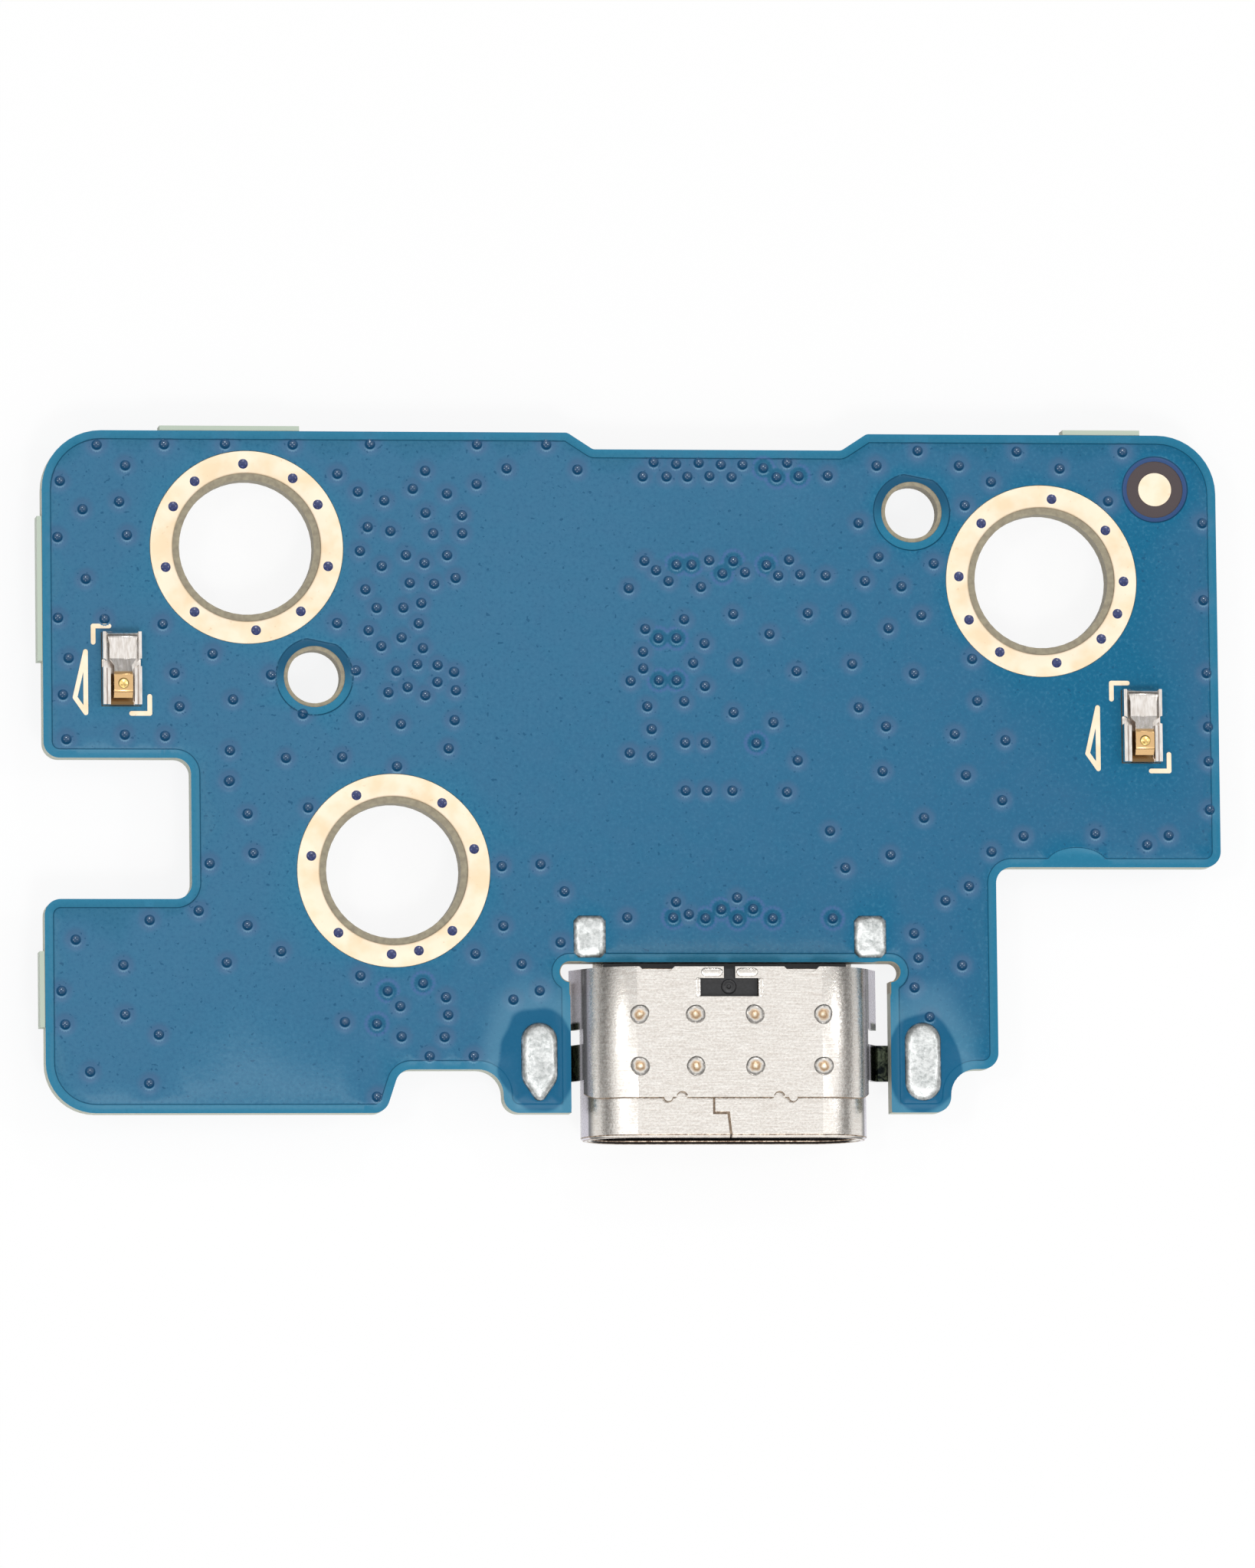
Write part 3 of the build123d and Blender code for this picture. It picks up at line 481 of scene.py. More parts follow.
def solder_mask():
    """Satin blue film: paler to the upper left by a painted sheen, violet round its vias, and dark where flux
    has run out.
    """
    graph = Graph("solder_mask")
    place = graph.place()
    x, y, _ = graph.split(place)
    cloud = graph.times(graph.noise(place, 0.22, 2.0), 0.4)
    # The film is painted paler to the upper left, a painted sheen laid over a random cloud of tone
    sheen_and_cloud = graph.plus(graph.minus(graph.times(y, 0.04), graph.times(x, 0.05)), graph.plus(cloud, 0.35))
    colour = graph.ramp(sheen_and_cloud, (0.0, "05658A"), (0.5, "1E6C8F"), (1.0, "317394"))
    grain = graph.noise(place, 9.0, 4.0, 0.6)
    colour = graph.tint(colour, "3B7C9D", graph.band(grain, 0.5, 0.7, 0.5))
    colour = graph.tint(colour, "0F5A80", graph.band(grain, 0.5, 0.3, 0.5))
    patches = graph.plus(0.55, graph.times(graph.noise(place, 1.6, 3.0), 0.7))
    colour = graph.tint(colour, "426A8D", graph.times(graph.attribute("halo"), patches))
    colour = graph.tint(colour, "0A4A70", graph.band(graph.noise(place, 7.0, 1.0), 0.7, 0.74, 0.6))
    for key, (code, amount) in FILM_TINTS.items():
        colour = graph.tint(colour, code, graph.attribute(key), amount)
    wave = graph.times(graph.minus(graph.noise(place, 0.7, 1.0), 0.5), 0.5)
    squashed = graph.stretch(place, (1.0, STAIN_SQUASH, 0.0))
    for across, up in STAIN_PLACES:
        away = graph.plus(graph.distance(squashed, (across, up * STAIN_SQUASH, 0.0)), wave)
        colour = graph.tint(colour, "065A80", graph.band(away, 1.22, 1.12), 0.8)
        mist = graph.times(graph.band(away, 2.1, 1.3), graph.band(away, 1.1, 1.25))
        colour = graph.tint(colour, "6A9CB5", mist, 0.35)
    colour = graph.tint(colour, "8DB9D2", graph.attribute("glint"), 0.5)
    colour = graph.tint(colour, "03456B", graph.attribute("via"))
    normal = graph.bump(graph.noise(place, 0.9, 2.0), 0.5, 0.03)
    normal = graph.bump(graph.noise(place, 6.0, 4.0), 0.5, 0.01, normal)
    return graph.finish(Base_Color=colour, Roughness=0.34, Normal=normal, Specular_IOR_Level=0.17)


def via_bowl():
    """The glossy dimple of the film over a via."""
    graph = Graph("via_bowl")
    return graph.finish(Base_Color=from_hex("06466C"), Roughness=0.1, Specular_IOR_Level=0.6)


def gilded_copper():
    """Pale gold, a little uneven, with a dark line where it ends at bare laminate."""
    graph = Graph("gilded_copper")
    place = graph.place()
    colour = graph.ramp(graph.noise(place, 1.2, 3.0), (0.35, GOLD_SHADE), (0.6, GOLD_CREAM))
    grain = graph.noise(place, 5.0, 3.0, 0.6)
    colour = graph.tint(colour, "C99C66", graph.band(grain, 0.66, 0.74, 0.3))
    colour = graph.tint(colour, "8A6A45", graph.attribute("rim"), 0.75)
    roughness = graph.ramp(grain, (0.3, 0.4), (0.8, 0.55))
    normal = graph.bump(graph.noise(place, 12.0, 3.0), 0.25, 0.006)
    return graph.finish(Base_Color=colour, Metallic=0.35, Roughness=roughness, Normal=normal)


def laminate():
    """Bare laminate: green at its stubs, dark beside the fiducial, pale at its walls, and coated below."""
    graph = Graph("laminate")
    place = graph.place()
    fibres = graph.noise(graph.stretch(place, (3.0, 3.0, 40.0)), 2.0, 3.0)
    colour = graph.ramp(fibres, (0.3, "877E6B"), (0.7, "A0977F"))
    x, y, _ = graph.split(place)
    off_left = graph.below(x, FILM_LOW.x - EDGE_MARGIN)
    off_rear = graph.above(y, FILM_HIGH.y + EDGE_MARGIN)
    colour = graph.tint(colour, "B9C6B6", graph.math("MAXIMUM", off_left, off_rear))
    from_fiducial = graph.distance(place, tuple(middle_mm("fiducial_pad")))
    colour = graph.tint(colour, "473B3D", graph.below(from_fiducial, FIDUCIAL_STEP_RADIUS))
    tilt = graph.split(graph.node("NewGeometry").outputs["Normal"])[2]
    down = graph.below(tilt, -0.5)
    wall = graph.below(graph.math("ABSOLUTE", tilt), 0.5)
    level = graph.stretch(place, (1.0, 1.0, 0.0))
    bores = [mount for mount in frame["record"]["mounts"] if mount["kind"] == "bore"]
    round_cuts = [([value / MM for value in bore["pos_m"]], bore["dims"]["r_mm"] + 0.05) for bore in bores]
    round_cuts += [(centre, RELIEF_REACH) for centre in RELIEF_PLACES]
    for centre, reach in round_cuts:
        wall = graph.times(wall, graph.above(graph.distance(level, (*centre[:2], 0.0)), reach))
    colour = graph.tint(colour, "B4BCAF", wall, 0.75)
    colour = graph.tint(colour, MASK_BLUE, down)
    for side in RING_VIAS:
        centre = middle_mm(f"{side}_ground_ring")
        ring = graph.below(graph.distance(level, (centre.x, centre.y, 0.0)), RING_OUTER)
        colour = graph.tint(colour, GOLD_CREAM, graph.times(ring, down))
    return graph.finish(Base_Color=colour, Roughness=0.55, Normal=graph.bump(fibres, 0.4, 0.01))


def satin_nickel():
    """Nickel plated sheet, brushed along the port: a violet painted reflection down its sides, a dark painted
    reflection on its steep shoulders, painted shade inside, and painted shade with an olive mottle on its
    arms.
    """
    graph = Graph("satin_nickel")
    place = graph.place()
    x, y, z = graph.split(place)
    tilt = graph.split(graph.node("NewGeometry").outputs["Normal"])[2]
    brush = graph.noise(graph.stretch(place, (0.9, 16.0, 4.0)), 1.5, 4.0, 0.6)
    grain = graph.noise(place, 13.0, 3.0, 0.6)
    colour = graph.ramp(graph.mix(0.35, brush, grain), (0.35, "D3CBC3"), (0.6, "EBE7E1"))
    aside = graph.apart(x, PORT_MIDDLE.x)
    # A violet painted reflection down the outer sides. Further down, the metal is made less metallic there so
    # that the violet shows.
    side_reflection = graph.times(graph.band(aside, 4.2, 4.36), graph.band(tilt, -0.2, 0.1))
    colour = graph.tint(colour, "CDC9D6", side_reflection, 0.9)
    # A dark painted reflection on the steep upper part of the shoulders
    upper = graph.times(graph.band(z, 2.2, 2.3), graph.band(tilt, 0.1, 0.3))
    colour = graph.tint(colour, "3E4243", graph.times(graph.band(tilt, 0.62, 0.45), upper), 0.8)
    low, high = box_mm("left_front_solder_joint")
    beside = graph.times(graph.band(y, low.y - 0.1, low.y), graph.band(y, high.y + 0.1, high.y))
    arm = graph.times(beside, graph.band(aside, 4.5, 4.62))
    # The arms are painted near black with an olive mottle, as painted shade and dark reflection of the gap
    # under the board
    painted_arm_shade = graph.ramp(graph.noise(place, 2.4, 3.0, 0.6, 1.0), (0.45, "15191A"), (0.72, "68715C"))
    colour = graph.mix(arm, colour, painted_arm_shade)
    # Painted shade: near black on the upward inner faces low in the tube, seen through the mouth
    colour = graph.tint(colour, "151414", graph.times(graph.band(tilt, 0.2, 0.4), graph.band(z, 1.4, 1.2)))
    roughness = graph.ramp(grain, (0.3, 0.22), (0.7, 0.32))
    normal = graph.bump(grain, 0.5, 0.012)
    normal = graph.bump(brush, 0.25, 0.006, normal)
    metallic = graph.minus(1.0, graph.times(side_reflection, graph.math("SUBTRACT", 0.75, arm, True)))
    return graph.finish(Base_Color=colour, Metallic=metallic, Roughness=roughness, Normal=normal)


def weld_mark():
    """A spot weld: a grey ring round a bronze dent, with a painted highlight in its middle."""
    graph = Graph("weld_mark")
    noise = graph.noise(graph.place(), 7.0, 3.0, 0.6)
    away = graph.plus(graph.attribute("away"), graph.times(graph.minus(noise, 0.5), 0.16))
    # The white and pale stops at the middle are a painted highlight
    stops = ((0.0, "FFFDF5"), (0.05, "EAD9BC"), (0.1, "A88663"), (0.15, "CDB9A2"))
    stops += ((0.2, "DDD8D1"), (0.24, "A5A29E"), (0.275, "6B6763"), (0.3, "D0CAC2"))
    colour = graph.ramp(away, *stops)
    return graph.finish(Base_Color=colour, Metallic=0.9, Roughness=0.25, Normal=graph.bump(noise, 0.5, 0.02))


def bright_solder():
    """Frosty tin, mottled darker towards its rim."""
    graph = Graph("bright_solder")
    place = graph.place()
    grain = graph.noise(place, 8.0, 5.0, 0.7)
    patch = graph.noise(place, 2.6, 3.0, 0.6, 0.8)
    colour = graph.ramp(graph.mix(0.4, grain, patch), (0.36, "A2A7A6"), (0.58, "E2E4E3"))
    rim = graph.times(graph.attribute("rim"), graph.band(graph.noise(place, 5.0, 3.0, 0.6), 0.35, 0.6))
    colour = graph.tint(colour, "53564F", rim, 0.85)
    normal = graph.bump(patch, 0.35, 0.04)
    normal = graph.bump(grain, 0.5, 0.015, normal)
    return graph.finish(Base_Color=colour, Metallic=0.75, Roughness=0.34, Normal=normal)


def spring_metal():
    """Nickel plated spring sheet with brown painted shade along its wall folds, and a gilded end where the
    contact is made, painted in shade lower down.
    """
    graph = Graph("spring_metal")
    place = graph.place()
    x, y, z = graph.split(place)
    grain = graph.noise(graph.stretch(place, (5.0, 1.0, 1.0)), 3.0, 3.0)
    colour = graph.ramp(grain, (0.35, "DAD2CA"), (0.65, "F3EEE9"))
    for side in SIDES:
        low, high = box_mm(f"{side}_spring_contact")
        aside = graph.apart(x, (low.x + high.x) / 2)
        # Brown painted shade along the fold of each side wall
        fold_shade = graph.band(graph.apart(aside, 0.48), 0.03, 0.01)
        fold_shade = graph.times(fold_shade, graph.band(y, low.y + 1.15, low.y + 1.1))
        colour = graph.tint(colour, "7A6152", fold_shade, 0.7)
        end = graph.times(graph.band(y, low.y + 1.02, low.y + 0.96), graph.below(aside, 0.36))
        # The gilded end is painted dark brown as shade where it lies lower and bends down, and pale gold
        # above
        gilding_shaded_below = graph.mix(graph.band(z, high.z - 0.3, high.z - 0.2), from_hex("7D6343"), from_hex("DFB884"))
        colour = graph.mix(end, colour, gilding_shaded_below)
    return graph.finish(Base_Color=colour, Metallic=1.0, Roughness=0.24, Normal=graph.bump(grain, 0.2, 0.003))


def grained(name, noise, dark, pale, bump=None, **inputs):
    """A material of two shades, each with its place in a noise. A bump gives it a fine grain."""
    graph = Graph(name)
    grain = graph.noise(graph.place(), *noise)
    if bump:
        inputs["Normal"] = graph.bump(grain, *bump)
    return graph.finish(Base_Color=graph.ramp(grain, dark, pale), **inputs)


def black_moulding():
    dark, pale = (0.3, "111113"), (0.7, "222225")
    return grained("black_moulding", (12.0, 4.0), dark, pale, (0.4, 0.01), Roughness=0.42)


FINISHES = {
    "laminate": laminate(),
    "solder_mask": solder_mask(),
    "gilded_copper": gilded_copper(),
    "port_steel": satin_nickel(),
    "port_contact_gold": grained(
        "contact_gold", (10.0,), (0.3, "D9B36A"), (0.7, "F0D08C"), (0.2, 0.005), Metallic=1.0, Roughness=0.28
    ),
    "black_moulding": black_moulding(),
    "solder": bright_solder(),
    "spring_metal": spring_metal(),
    "chip_black": black_moulding(),
    "component_ceramic": grained(
        "component_ceramic", (8.0,), (0.3, "6E5B45"), (0.7, "8A745A"), (0.3, 0.008), Roughness=0.5
    ),
}

# Finishes of single features: the dimples over vias, the ink in a ring's vias, the cut edge of the sheets,
# the spot welds, and the brown painted shade in the seam and along the cover's front edge
VIA_BOWL = via_bowl()
VIA_PLUG = grained("via_plug", (20.0, 2.0), (0.3, "1F2A54"), (0.7, "34427A"), (0.3, 0.01), Roughness=0.22)
SHEARED_EDGE = grained(
    "sheared_edge", (9.0, 3.0, 0.6), (0.4, "6A5646"), (0.65, "BBAA98"), Metallic=0.8, Roughness=0.35
)
WELD_MARK = weld_mark()
# Brown painted shade, for the seam's depth and the shadow line along the cover's front edge
SEAM_AND_EDGE_SHADE = grained("seam_and_edge_shade", (7.0, 3.0, 0.6), (0.35, "5A4A3C"), (0.65, "A6927C"), Metallic=0.4, Roughness=0.5)

# The rounding of the sheet metal's edges
SOFT_EDGES = {
    "port_cover": 0.03,
    "port_tube": 0.02,
    "left_spring_contact": 0.02,
    "right_spring_contact": 0.02,
}


def dress_nodes():
    """Gives each CAD node the finish of its material slot, and soft edges to the sheet metal."""
    for part in frame["record"]["subparts"]:
        mesh = nodes[part["node"]].data
        mesh.materials.clear()
        mesh.materials.append(FINISHES[part["material_slot"]])
    for name, width in SOFT_EDGES.items():
        sheet = nodes[name]
        sheet.data.materials.append(SHEARED_EDGE)
        weld = sheet.modifiers.new("join", "WELD")
        weld.merge_threshold = JOIN_REACH * MM
        bevel = sheet.modifiers.new("edge", "BEVEL")
        bevel.width = width * MM
        bevel.segments = 2
        bevel.limit_method = "ANGLE"
        bevel.angle_limit = math.radians(40)
        bevel.material = 1


# Pieces
def add_piece(name, mesh, slot, replaced=(), finish=None):
    """Puts a mesh in millimetres into the scene as a piece of the board."""
    mesh.transform(Matrix.Scale(MM, 4))
    piece = bpy.data.objects.new(name, mesh)
    bpy.context.collection.objects.link(piece)
    mesh.materials.append(finish or FINISHES[slot])
    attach(piece, "root")
    if replaced:
        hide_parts(*replaced)
    return piece


def circle(centre, radius, count, turn=0.0):
    """Points round a circle."""
    angles = turn + np.arange(count) * 2 * math.pi / count
    return np.column_stack((centre[0] + radius * np.cos(angles), centre[1] + radius * np.sin(angles)))


def joined(name):
    """A CAD node's mesh, open to edits, with the points that its faces share as one."""
    bm = bmesh.new()
    bm.from_mesh(nodes[name].data)
    bmesh.ops.remove_doubles(bm, verts=bm.verts, dist=JOIN_REACH * MM)
    return bm


def to_mesh(name, bm):
    """A mesh from an edited one, with an edge kept sharp where it turns by more than 50 degrees."""
    mesh = bpy.data.meshes.new(name)
    bm.to_mesh(mesh)
    bm.free()
    mesh.set_sharp_from_angle(angle=math.radians(50))
    return mesh


def face_outlines(name):
    """The outlines of a CAD node's upper face, the longest first, each a ring of points in millimetres."""
    bm = joined(name)
    top = max(v.co.z for v in bm.verts) - 0.001 * MM
    lower = [f for f in bm.faces if min(v.co.z for v in f.verts) < top]
    bmesh.ops.delete(bm, geom=lower, context="FACES")
    following = {}
    for edge in bm.edges:
        if edge.is_boundary:
            loop = edge.link_loops[0]
            following[loop.vert] = loop.link_loop_next.vert
    outlines = []
    while following:
        ring = []
        vert = next(iter(following))
        while vert in following:
            ring.append((vert.co.x / MM, vert.co.y / MM))
            vert = following.pop(vert)
        outlines.append(np.array(ring))
    bm.free()
    return sorted(outlines, key=lambda ring: -np.ptp(ring[:, 0]))


def distance_to(points, ring):
    """How far each point lies from a closed outline."""
    along = np.roll(ring, -1, axis=0) - ring
    length = np.maximum((along**2).sum(axis=1), 1e-12)
    result = np.empty(len(points))
    batch = 4000
    for first in range(0, len(points), batch):
        part = points[first : first + batch, None, :] - ring[None]
        share = np.clip((part * along[None]).sum(axis=2) / length, 0, 1)
        squares = ((part - share[..., None] * along[None]) ** 2).sum(axis=2)
        result[first : first + batch] = np.sqrt(squares.min(axis=1))
    return result


def is_inside(points, ring):
    """Which points lie inside a closed outline."""
    inside = np.zeros(len(points), dtype=bool)
    x, y = points[:, 0], points[:, 1]
    for (x0, y0), (x1, y1) in zip(ring, np.roll(ring, -1, axis=0)):
        crosses = (y0 > y) != (y1 > y)
        inside ^= crosses & (x < (x1 - x0) * (y - y0) / (y1 - y0 + 1e-15) + x0)
    return inside


def is_clear(points, border, margin, openings=(), gap=0.0):
    """Which points lie inside a border by a margin, and outside its openings by a gap."""
    clear = is_inside(points, border) & (distance_to(points, border) > margin)
    for opening in openings:
        clear &= ~is_inside(points, opening) & (distance_to(points, opening) > gap)
    return clear


def away_from(centre, points):
    return np.hypot(*(points - np.array(centre)).T)


def unit(vector):
    return vector / np.hypot(*vector)


def dense(ring, step):
    """An outline with more points on its long stretches."""
    points = []
    for a, b in zip(ring, np.roll(ring, -1, axis=0)):
        count = max(1, int(np.hypot(*(b - a)) / step))
        points.extend(a + (b - a) * i / count for i in range(count))
    return np.array(points)


def outward(ring):
    """The direction to the right of an outline at each of its points, away from the face that it bounds."""
    along = np.roll(ring, -1, axis=0) - np.roll(ring, 1, axis=0)
    along /= np.maximum(np.hypot(along[:, 0], along[:, 1]), 1e-9)[:, None]
    return np.column_stack((along[:, 1], -along[:, 0]))


def inset(ring, distance, step=0.25):
    """An outline moved to its left side, which is the inside of the face that it bounds."""
    ring = dense(ring, step)
    moved = ring - outward(ring) * distance
    return moved[distance_to(moved, ring) > distance * 0.97]


def smooth(values, low, high):
    """Zero below low, one above high, and an even rise between them."""
    share = np.clip((values - low) / (high - low), 0, 1)
    return share * share * (3 - 2 * share)


def stepped(values, start):
    """Zero below the start of the film's step and one above its end."""
    return smooth(values, start, start + STEP_WIDTH)


def ridge(values, place, width):
    """One at a place, and less on both sides of it."""
    return np.exp(-(((values - place) / width) ** 2))


def flat_at(level):
    """The heights of a flat face."""
    return lambda points: np.full(len(points), level)


def plate(rings, extra, height_at, bottom, attributes=None, creases=()):
    """A plate bounded by outlines, with an uneven upper face through the extra points and a flat underside.

    height_at gives the upper face's height at points, and attributes gives named values there. Creases are
    closed lines that the upper face's triangles follow, but not where their points lie far apart."""
    rings = [np.asarray(ring) for ring in rings]
    points = [tuple(p) for ring in rings for p in ring]
    edges = []
    first = 0
    for ring in rings:
        count = len(ring)
        edges += [(first + i, first + (i + 1) % count) for i in range(count)]
        first += count
    for crease in creases:
        count = len(crease)
        gaps = np.hypot(*(np.roll(crease, -1, axis=0) - crease).T)
        edges += [(first + i, first + (i + 1) % count) for i in range(count) if gaps[i] < CREASE_GAP]
        points += [tuple(p) for p in crease]
        first += count
    points += [tuple(p) for p in extra]
    verts, _, faces, *_ = delaunay_2d_cdt([Vector(p) for p in points], edges, [], 0, 1e-5)
    flat = np.array([tuple(v) for v in verts])
    centres = np.array([flat[list(f)].mean(axis=0) for f in faces])
    kept = is_inside(centres, rings[0])
    for ring in rings[1:]:
        kept &= ~is_inside(centres, ring)
    used = [tuple(f) for f, keep in zip(faces, kept) if keep]
    heights = height_at(flat)
    named = attributes(flat) if attributes else {}
    bm = bmesh.new()
    layers = {key: bm.verts.layers.float.new(key) for key in named}
    made = [bm.verts.new((x, y, z)) for (x, y), z in zip(flat, heights)]
    for key, layer in layers.items():
        for vert, value in zip(made, named[key]):
            vert[layer] = value
    for face in used:
        bm.faces.new([made[i] for i in face]).smooth = True
    bmesh.ops.delete(bm, geom=[v for v in bm.verts if not v.link_faces], context="VERTS")
    border = [edge for edge in bm.edges if edge.is_boundary]
    wall = bmesh.ops.extrude_edge_only(bm, edges=border)["geom"]
    for vert in (g for g in wall if isinstance(g, bmesh.types.BMVert)):
        vert.co.z = bottom
    floor_edges = [g for g in wall if isinstance(g, bmesh.types.BMEdge)]
    bmesh.ops.triangle_fill(bm, edges=floor_edges, use_beauty=True)
    bmesh.ops.recalc_face_normals(bm, faces=bm.faces)
    return to_mesh("plate", bm)


# Solder mask of the visible side
def film_vias():
    """Every via of the film as a place in millimetres, and whether a ring runs round it."""
    places = []
    ringed = []
    for (left, top), scale, plain, with_ring in VIA_GROUPS:
        for group, has_ring in ((plain, 0.0), (with_ring, 1.0)):
            for x, y in group:
                across = (left + x * scale - PHOTO_CENTRE[0]) / PHOTO_SCALE
                up = (PHOTO_CENTRE[1] - top - y * scale) / PHOTO_SCALE
                places.append((across, up))
                ringed.append(has_ring)
    return np.array(places), np.array(ringed)


DOMED_JOINTS = [f"{side}_{end}_solder_joint" for side in SIDES for end in DOME_RISES]


def joint_outline(name):
    """A solder joint's outline where it leaves the board, anticlockwise and a little outside its solid."""
    level = FILM_LOW.z - EDGE_MARGIN / 2
    found = [(v.co / MM).xy for v in nodes[name].data.vertices if v.co.z / MM > level]
    ring = np.array([tuple(found[i]) for i in convex_hull_2d(found)])
    x, y = ring.T
    if (x * np.roll(y, -1) - y * np.roll(x, -1)).sum() < 0:
        ring = ring[::-1]
    return inset(ring, -DOME_SKIRT, 0.08)


def add_domes():
    """A rounded face over each solder joint."""
    for name in DOMED_JOINTS:
        side, end, *_ = name.split("_")
        ring = joint_outline(name)
        low = ring.min(axis=0)
        high = ring.max(axis=0)
        inner = [inset(ring, distance, 0.06) for distance in DOME_INSETS]
        grid = np.meshgrid(*(np.arange(low[i], high[i], DOME_SPACING) for i in range(2)))
        grid = np.stack(grid, axis=-1).reshape(-1, 2)
        inner.append(grid[is_clear(grid, ring, DOME_GRID_IN)])
        lumps = 0.012 * np.sin(5 * low[0])

        def heights(points):
            share = np.clip(distance_to(points, ring) / DOME_EDGE, 0, 1)
            x, y = points.T
            uneven = 0.012 * np.sin(4.1 * y + low[0]) + 0.01 * np.sin(7.3 * x + y * 3)
            rise = DOME_RISES[end] + uneven * share + lumps
            return FILM_HIGH.z - DOME_SINK + rise * np.sqrt(1 - (1 - share) ** 2)

        def values(points):
            return {"rim": np.exp(-distance_to(points, ring) / DOME_RIM)}

        mesh = plate([ring], np.concatenate(inner), heights, FILM_LOW.z, values)
        add_piece(f"{side}_{end}_solder_dome", mesh, "solder")


def lathe(centre, radii, heights, level, attribute=None, wobble=0.0, seed=0.0):
    """A small round mark on a flat face, with its heights given at radii. A wobble makes it uneven."""
    spokes = 28
    turn = np.arange(spokes) * 2 * math.pi / spokes

    def uneven(angle):
        return 1 + wobble * (np.sin(2 * angle + seed) + 0.7 * np.sin(3 * angle + 2.3 * seed))

    rings = []
    for i in range(1, 3 * len(radii) - 2):
        radius = np.interp(i / 3, range(len(radii)), radii)
        ring = np.column_stack((np.cos(turn), np.sin(turn)))
        rings.append(ring * (radius * uneven(turn))[:, None] + centre)

    def away(points):
        offset = points - np.asarray(centre)
        return np.hypot(*offset.T) / uneven(np.arctan2(offset[:, 1], offset[:, 0]))

    def height_at(points):
        return level + np.interp(away(points), radii, heights)

    extra = np.concatenate([[centre], *rings[:-1]])
    named = (lambda points: {attribute: away(points)}) if attribute else None
    return plate([rings[-1]], extra, height_at, level - MARK_SINK, named)


def join_meshes(name, meshes):
    """One mesh from several, with their attributes."""
    bm = bmesh.new()
    for mesh in meshes:
        bm.from_mesh(mesh)
        bpy.data.meshes.remove(mesh)
    return to_mesh(name, bm)


def capsule(start, end, radius):
    """The outline of a rounded bar between two points, anticlockwise."""
    start, end = np.array(start), np.array(end)
    along = unit(end - start)
    side = np.array((-along[1], along[0]))
    turn = np.linspace(0, math.pi, 12)[:, None]
    first = start + radius * (np.cos(turn) * side - np.sin(turn) * along)
    second = end + radius * (-np.cos(turn) * side + np.sin(turn) * along)
    return np.concatenate((first, second))


def pillow(ring, level, width, rise):
    """A low rounded pad on a flat face."""
    inner = np.concatenate([inset(ring, share * width, 0.04) for share in (0.12, 0.28, 0.5, 0.8)])

    def heights(points):
        share = np.clip(distance_to(points, ring) / width, 0, 1)
        return level + 0.001 + rise * np.sqrt(1 - (1 - share) ** 2)

    return plate([ring], inner, heights, level - MARK_SINK)


def add_edge_line():
    """A brown line of painted shadow along the cover's front edge, from the edges of its solid."""
    source = joined("port_cover")
    source.normal_update()
    bm = bmesh.new()
    flat = (TUBE_HIGH.x - TUBE_LOW.x - TUBE_HIGH.z + TUBE_LOW.z) / 2
    for edge in source.edges:
        middle = (edge.verts[0].co + edge.verts[1].co) / 2 / MM
        if len(edge.link_faces) != 2 or middle.y > COVER_LOW.y + EDGE_SHADOW_REACH:
            continue
        across = min(max(middle.x, PORT_MIDDLE.x - flat), PORT_MIDDLE.x + flat)
        axis = Vector((across, middle.y, PORT_MIDDLE.z))
        end, outer = sorted(edge.link_faces, key=lambda face: face.normal.y)
        if end.normal.y > -0.3 or abs(outer.normal.y) > 0.2 or outer.normal.dot(middle - axis) < 0.3:
            continue
        out = end.normal * EDGE_SHADOW_WIDTH
        sink = outer.normal * EDGE_SHADOW_WIDTH
        corners = [v.co / MM for v in edge.verts]
        raised = [c + outer.normal * EDGE_SHADOW_RISE for c in corners]
        rows = [raised, [c + out - sink for c in raised], [c - out - 3 * sink for c in raised]]
        made = [[bm.verts.new(c) for c in row] for row in rows]
        for i in range(3):
            first, second = made[i], made[(i + 1) % 3]
            bm.faces.new((first[0], first[1], second[1], second[0]))
        bm.faces.new([row[0] for row in reversed(made)])
        bm.faces.new([row[1] for row in made])
    source.free()
    bmesh.ops.recalc_face_normals(bm, faces=bm.faces)
    add_piece("cover_edge_shadow", to_mesh("cover_edge_shadow", bm), "port_steel", finish=SEAM_AND_EDGE_SHADE)


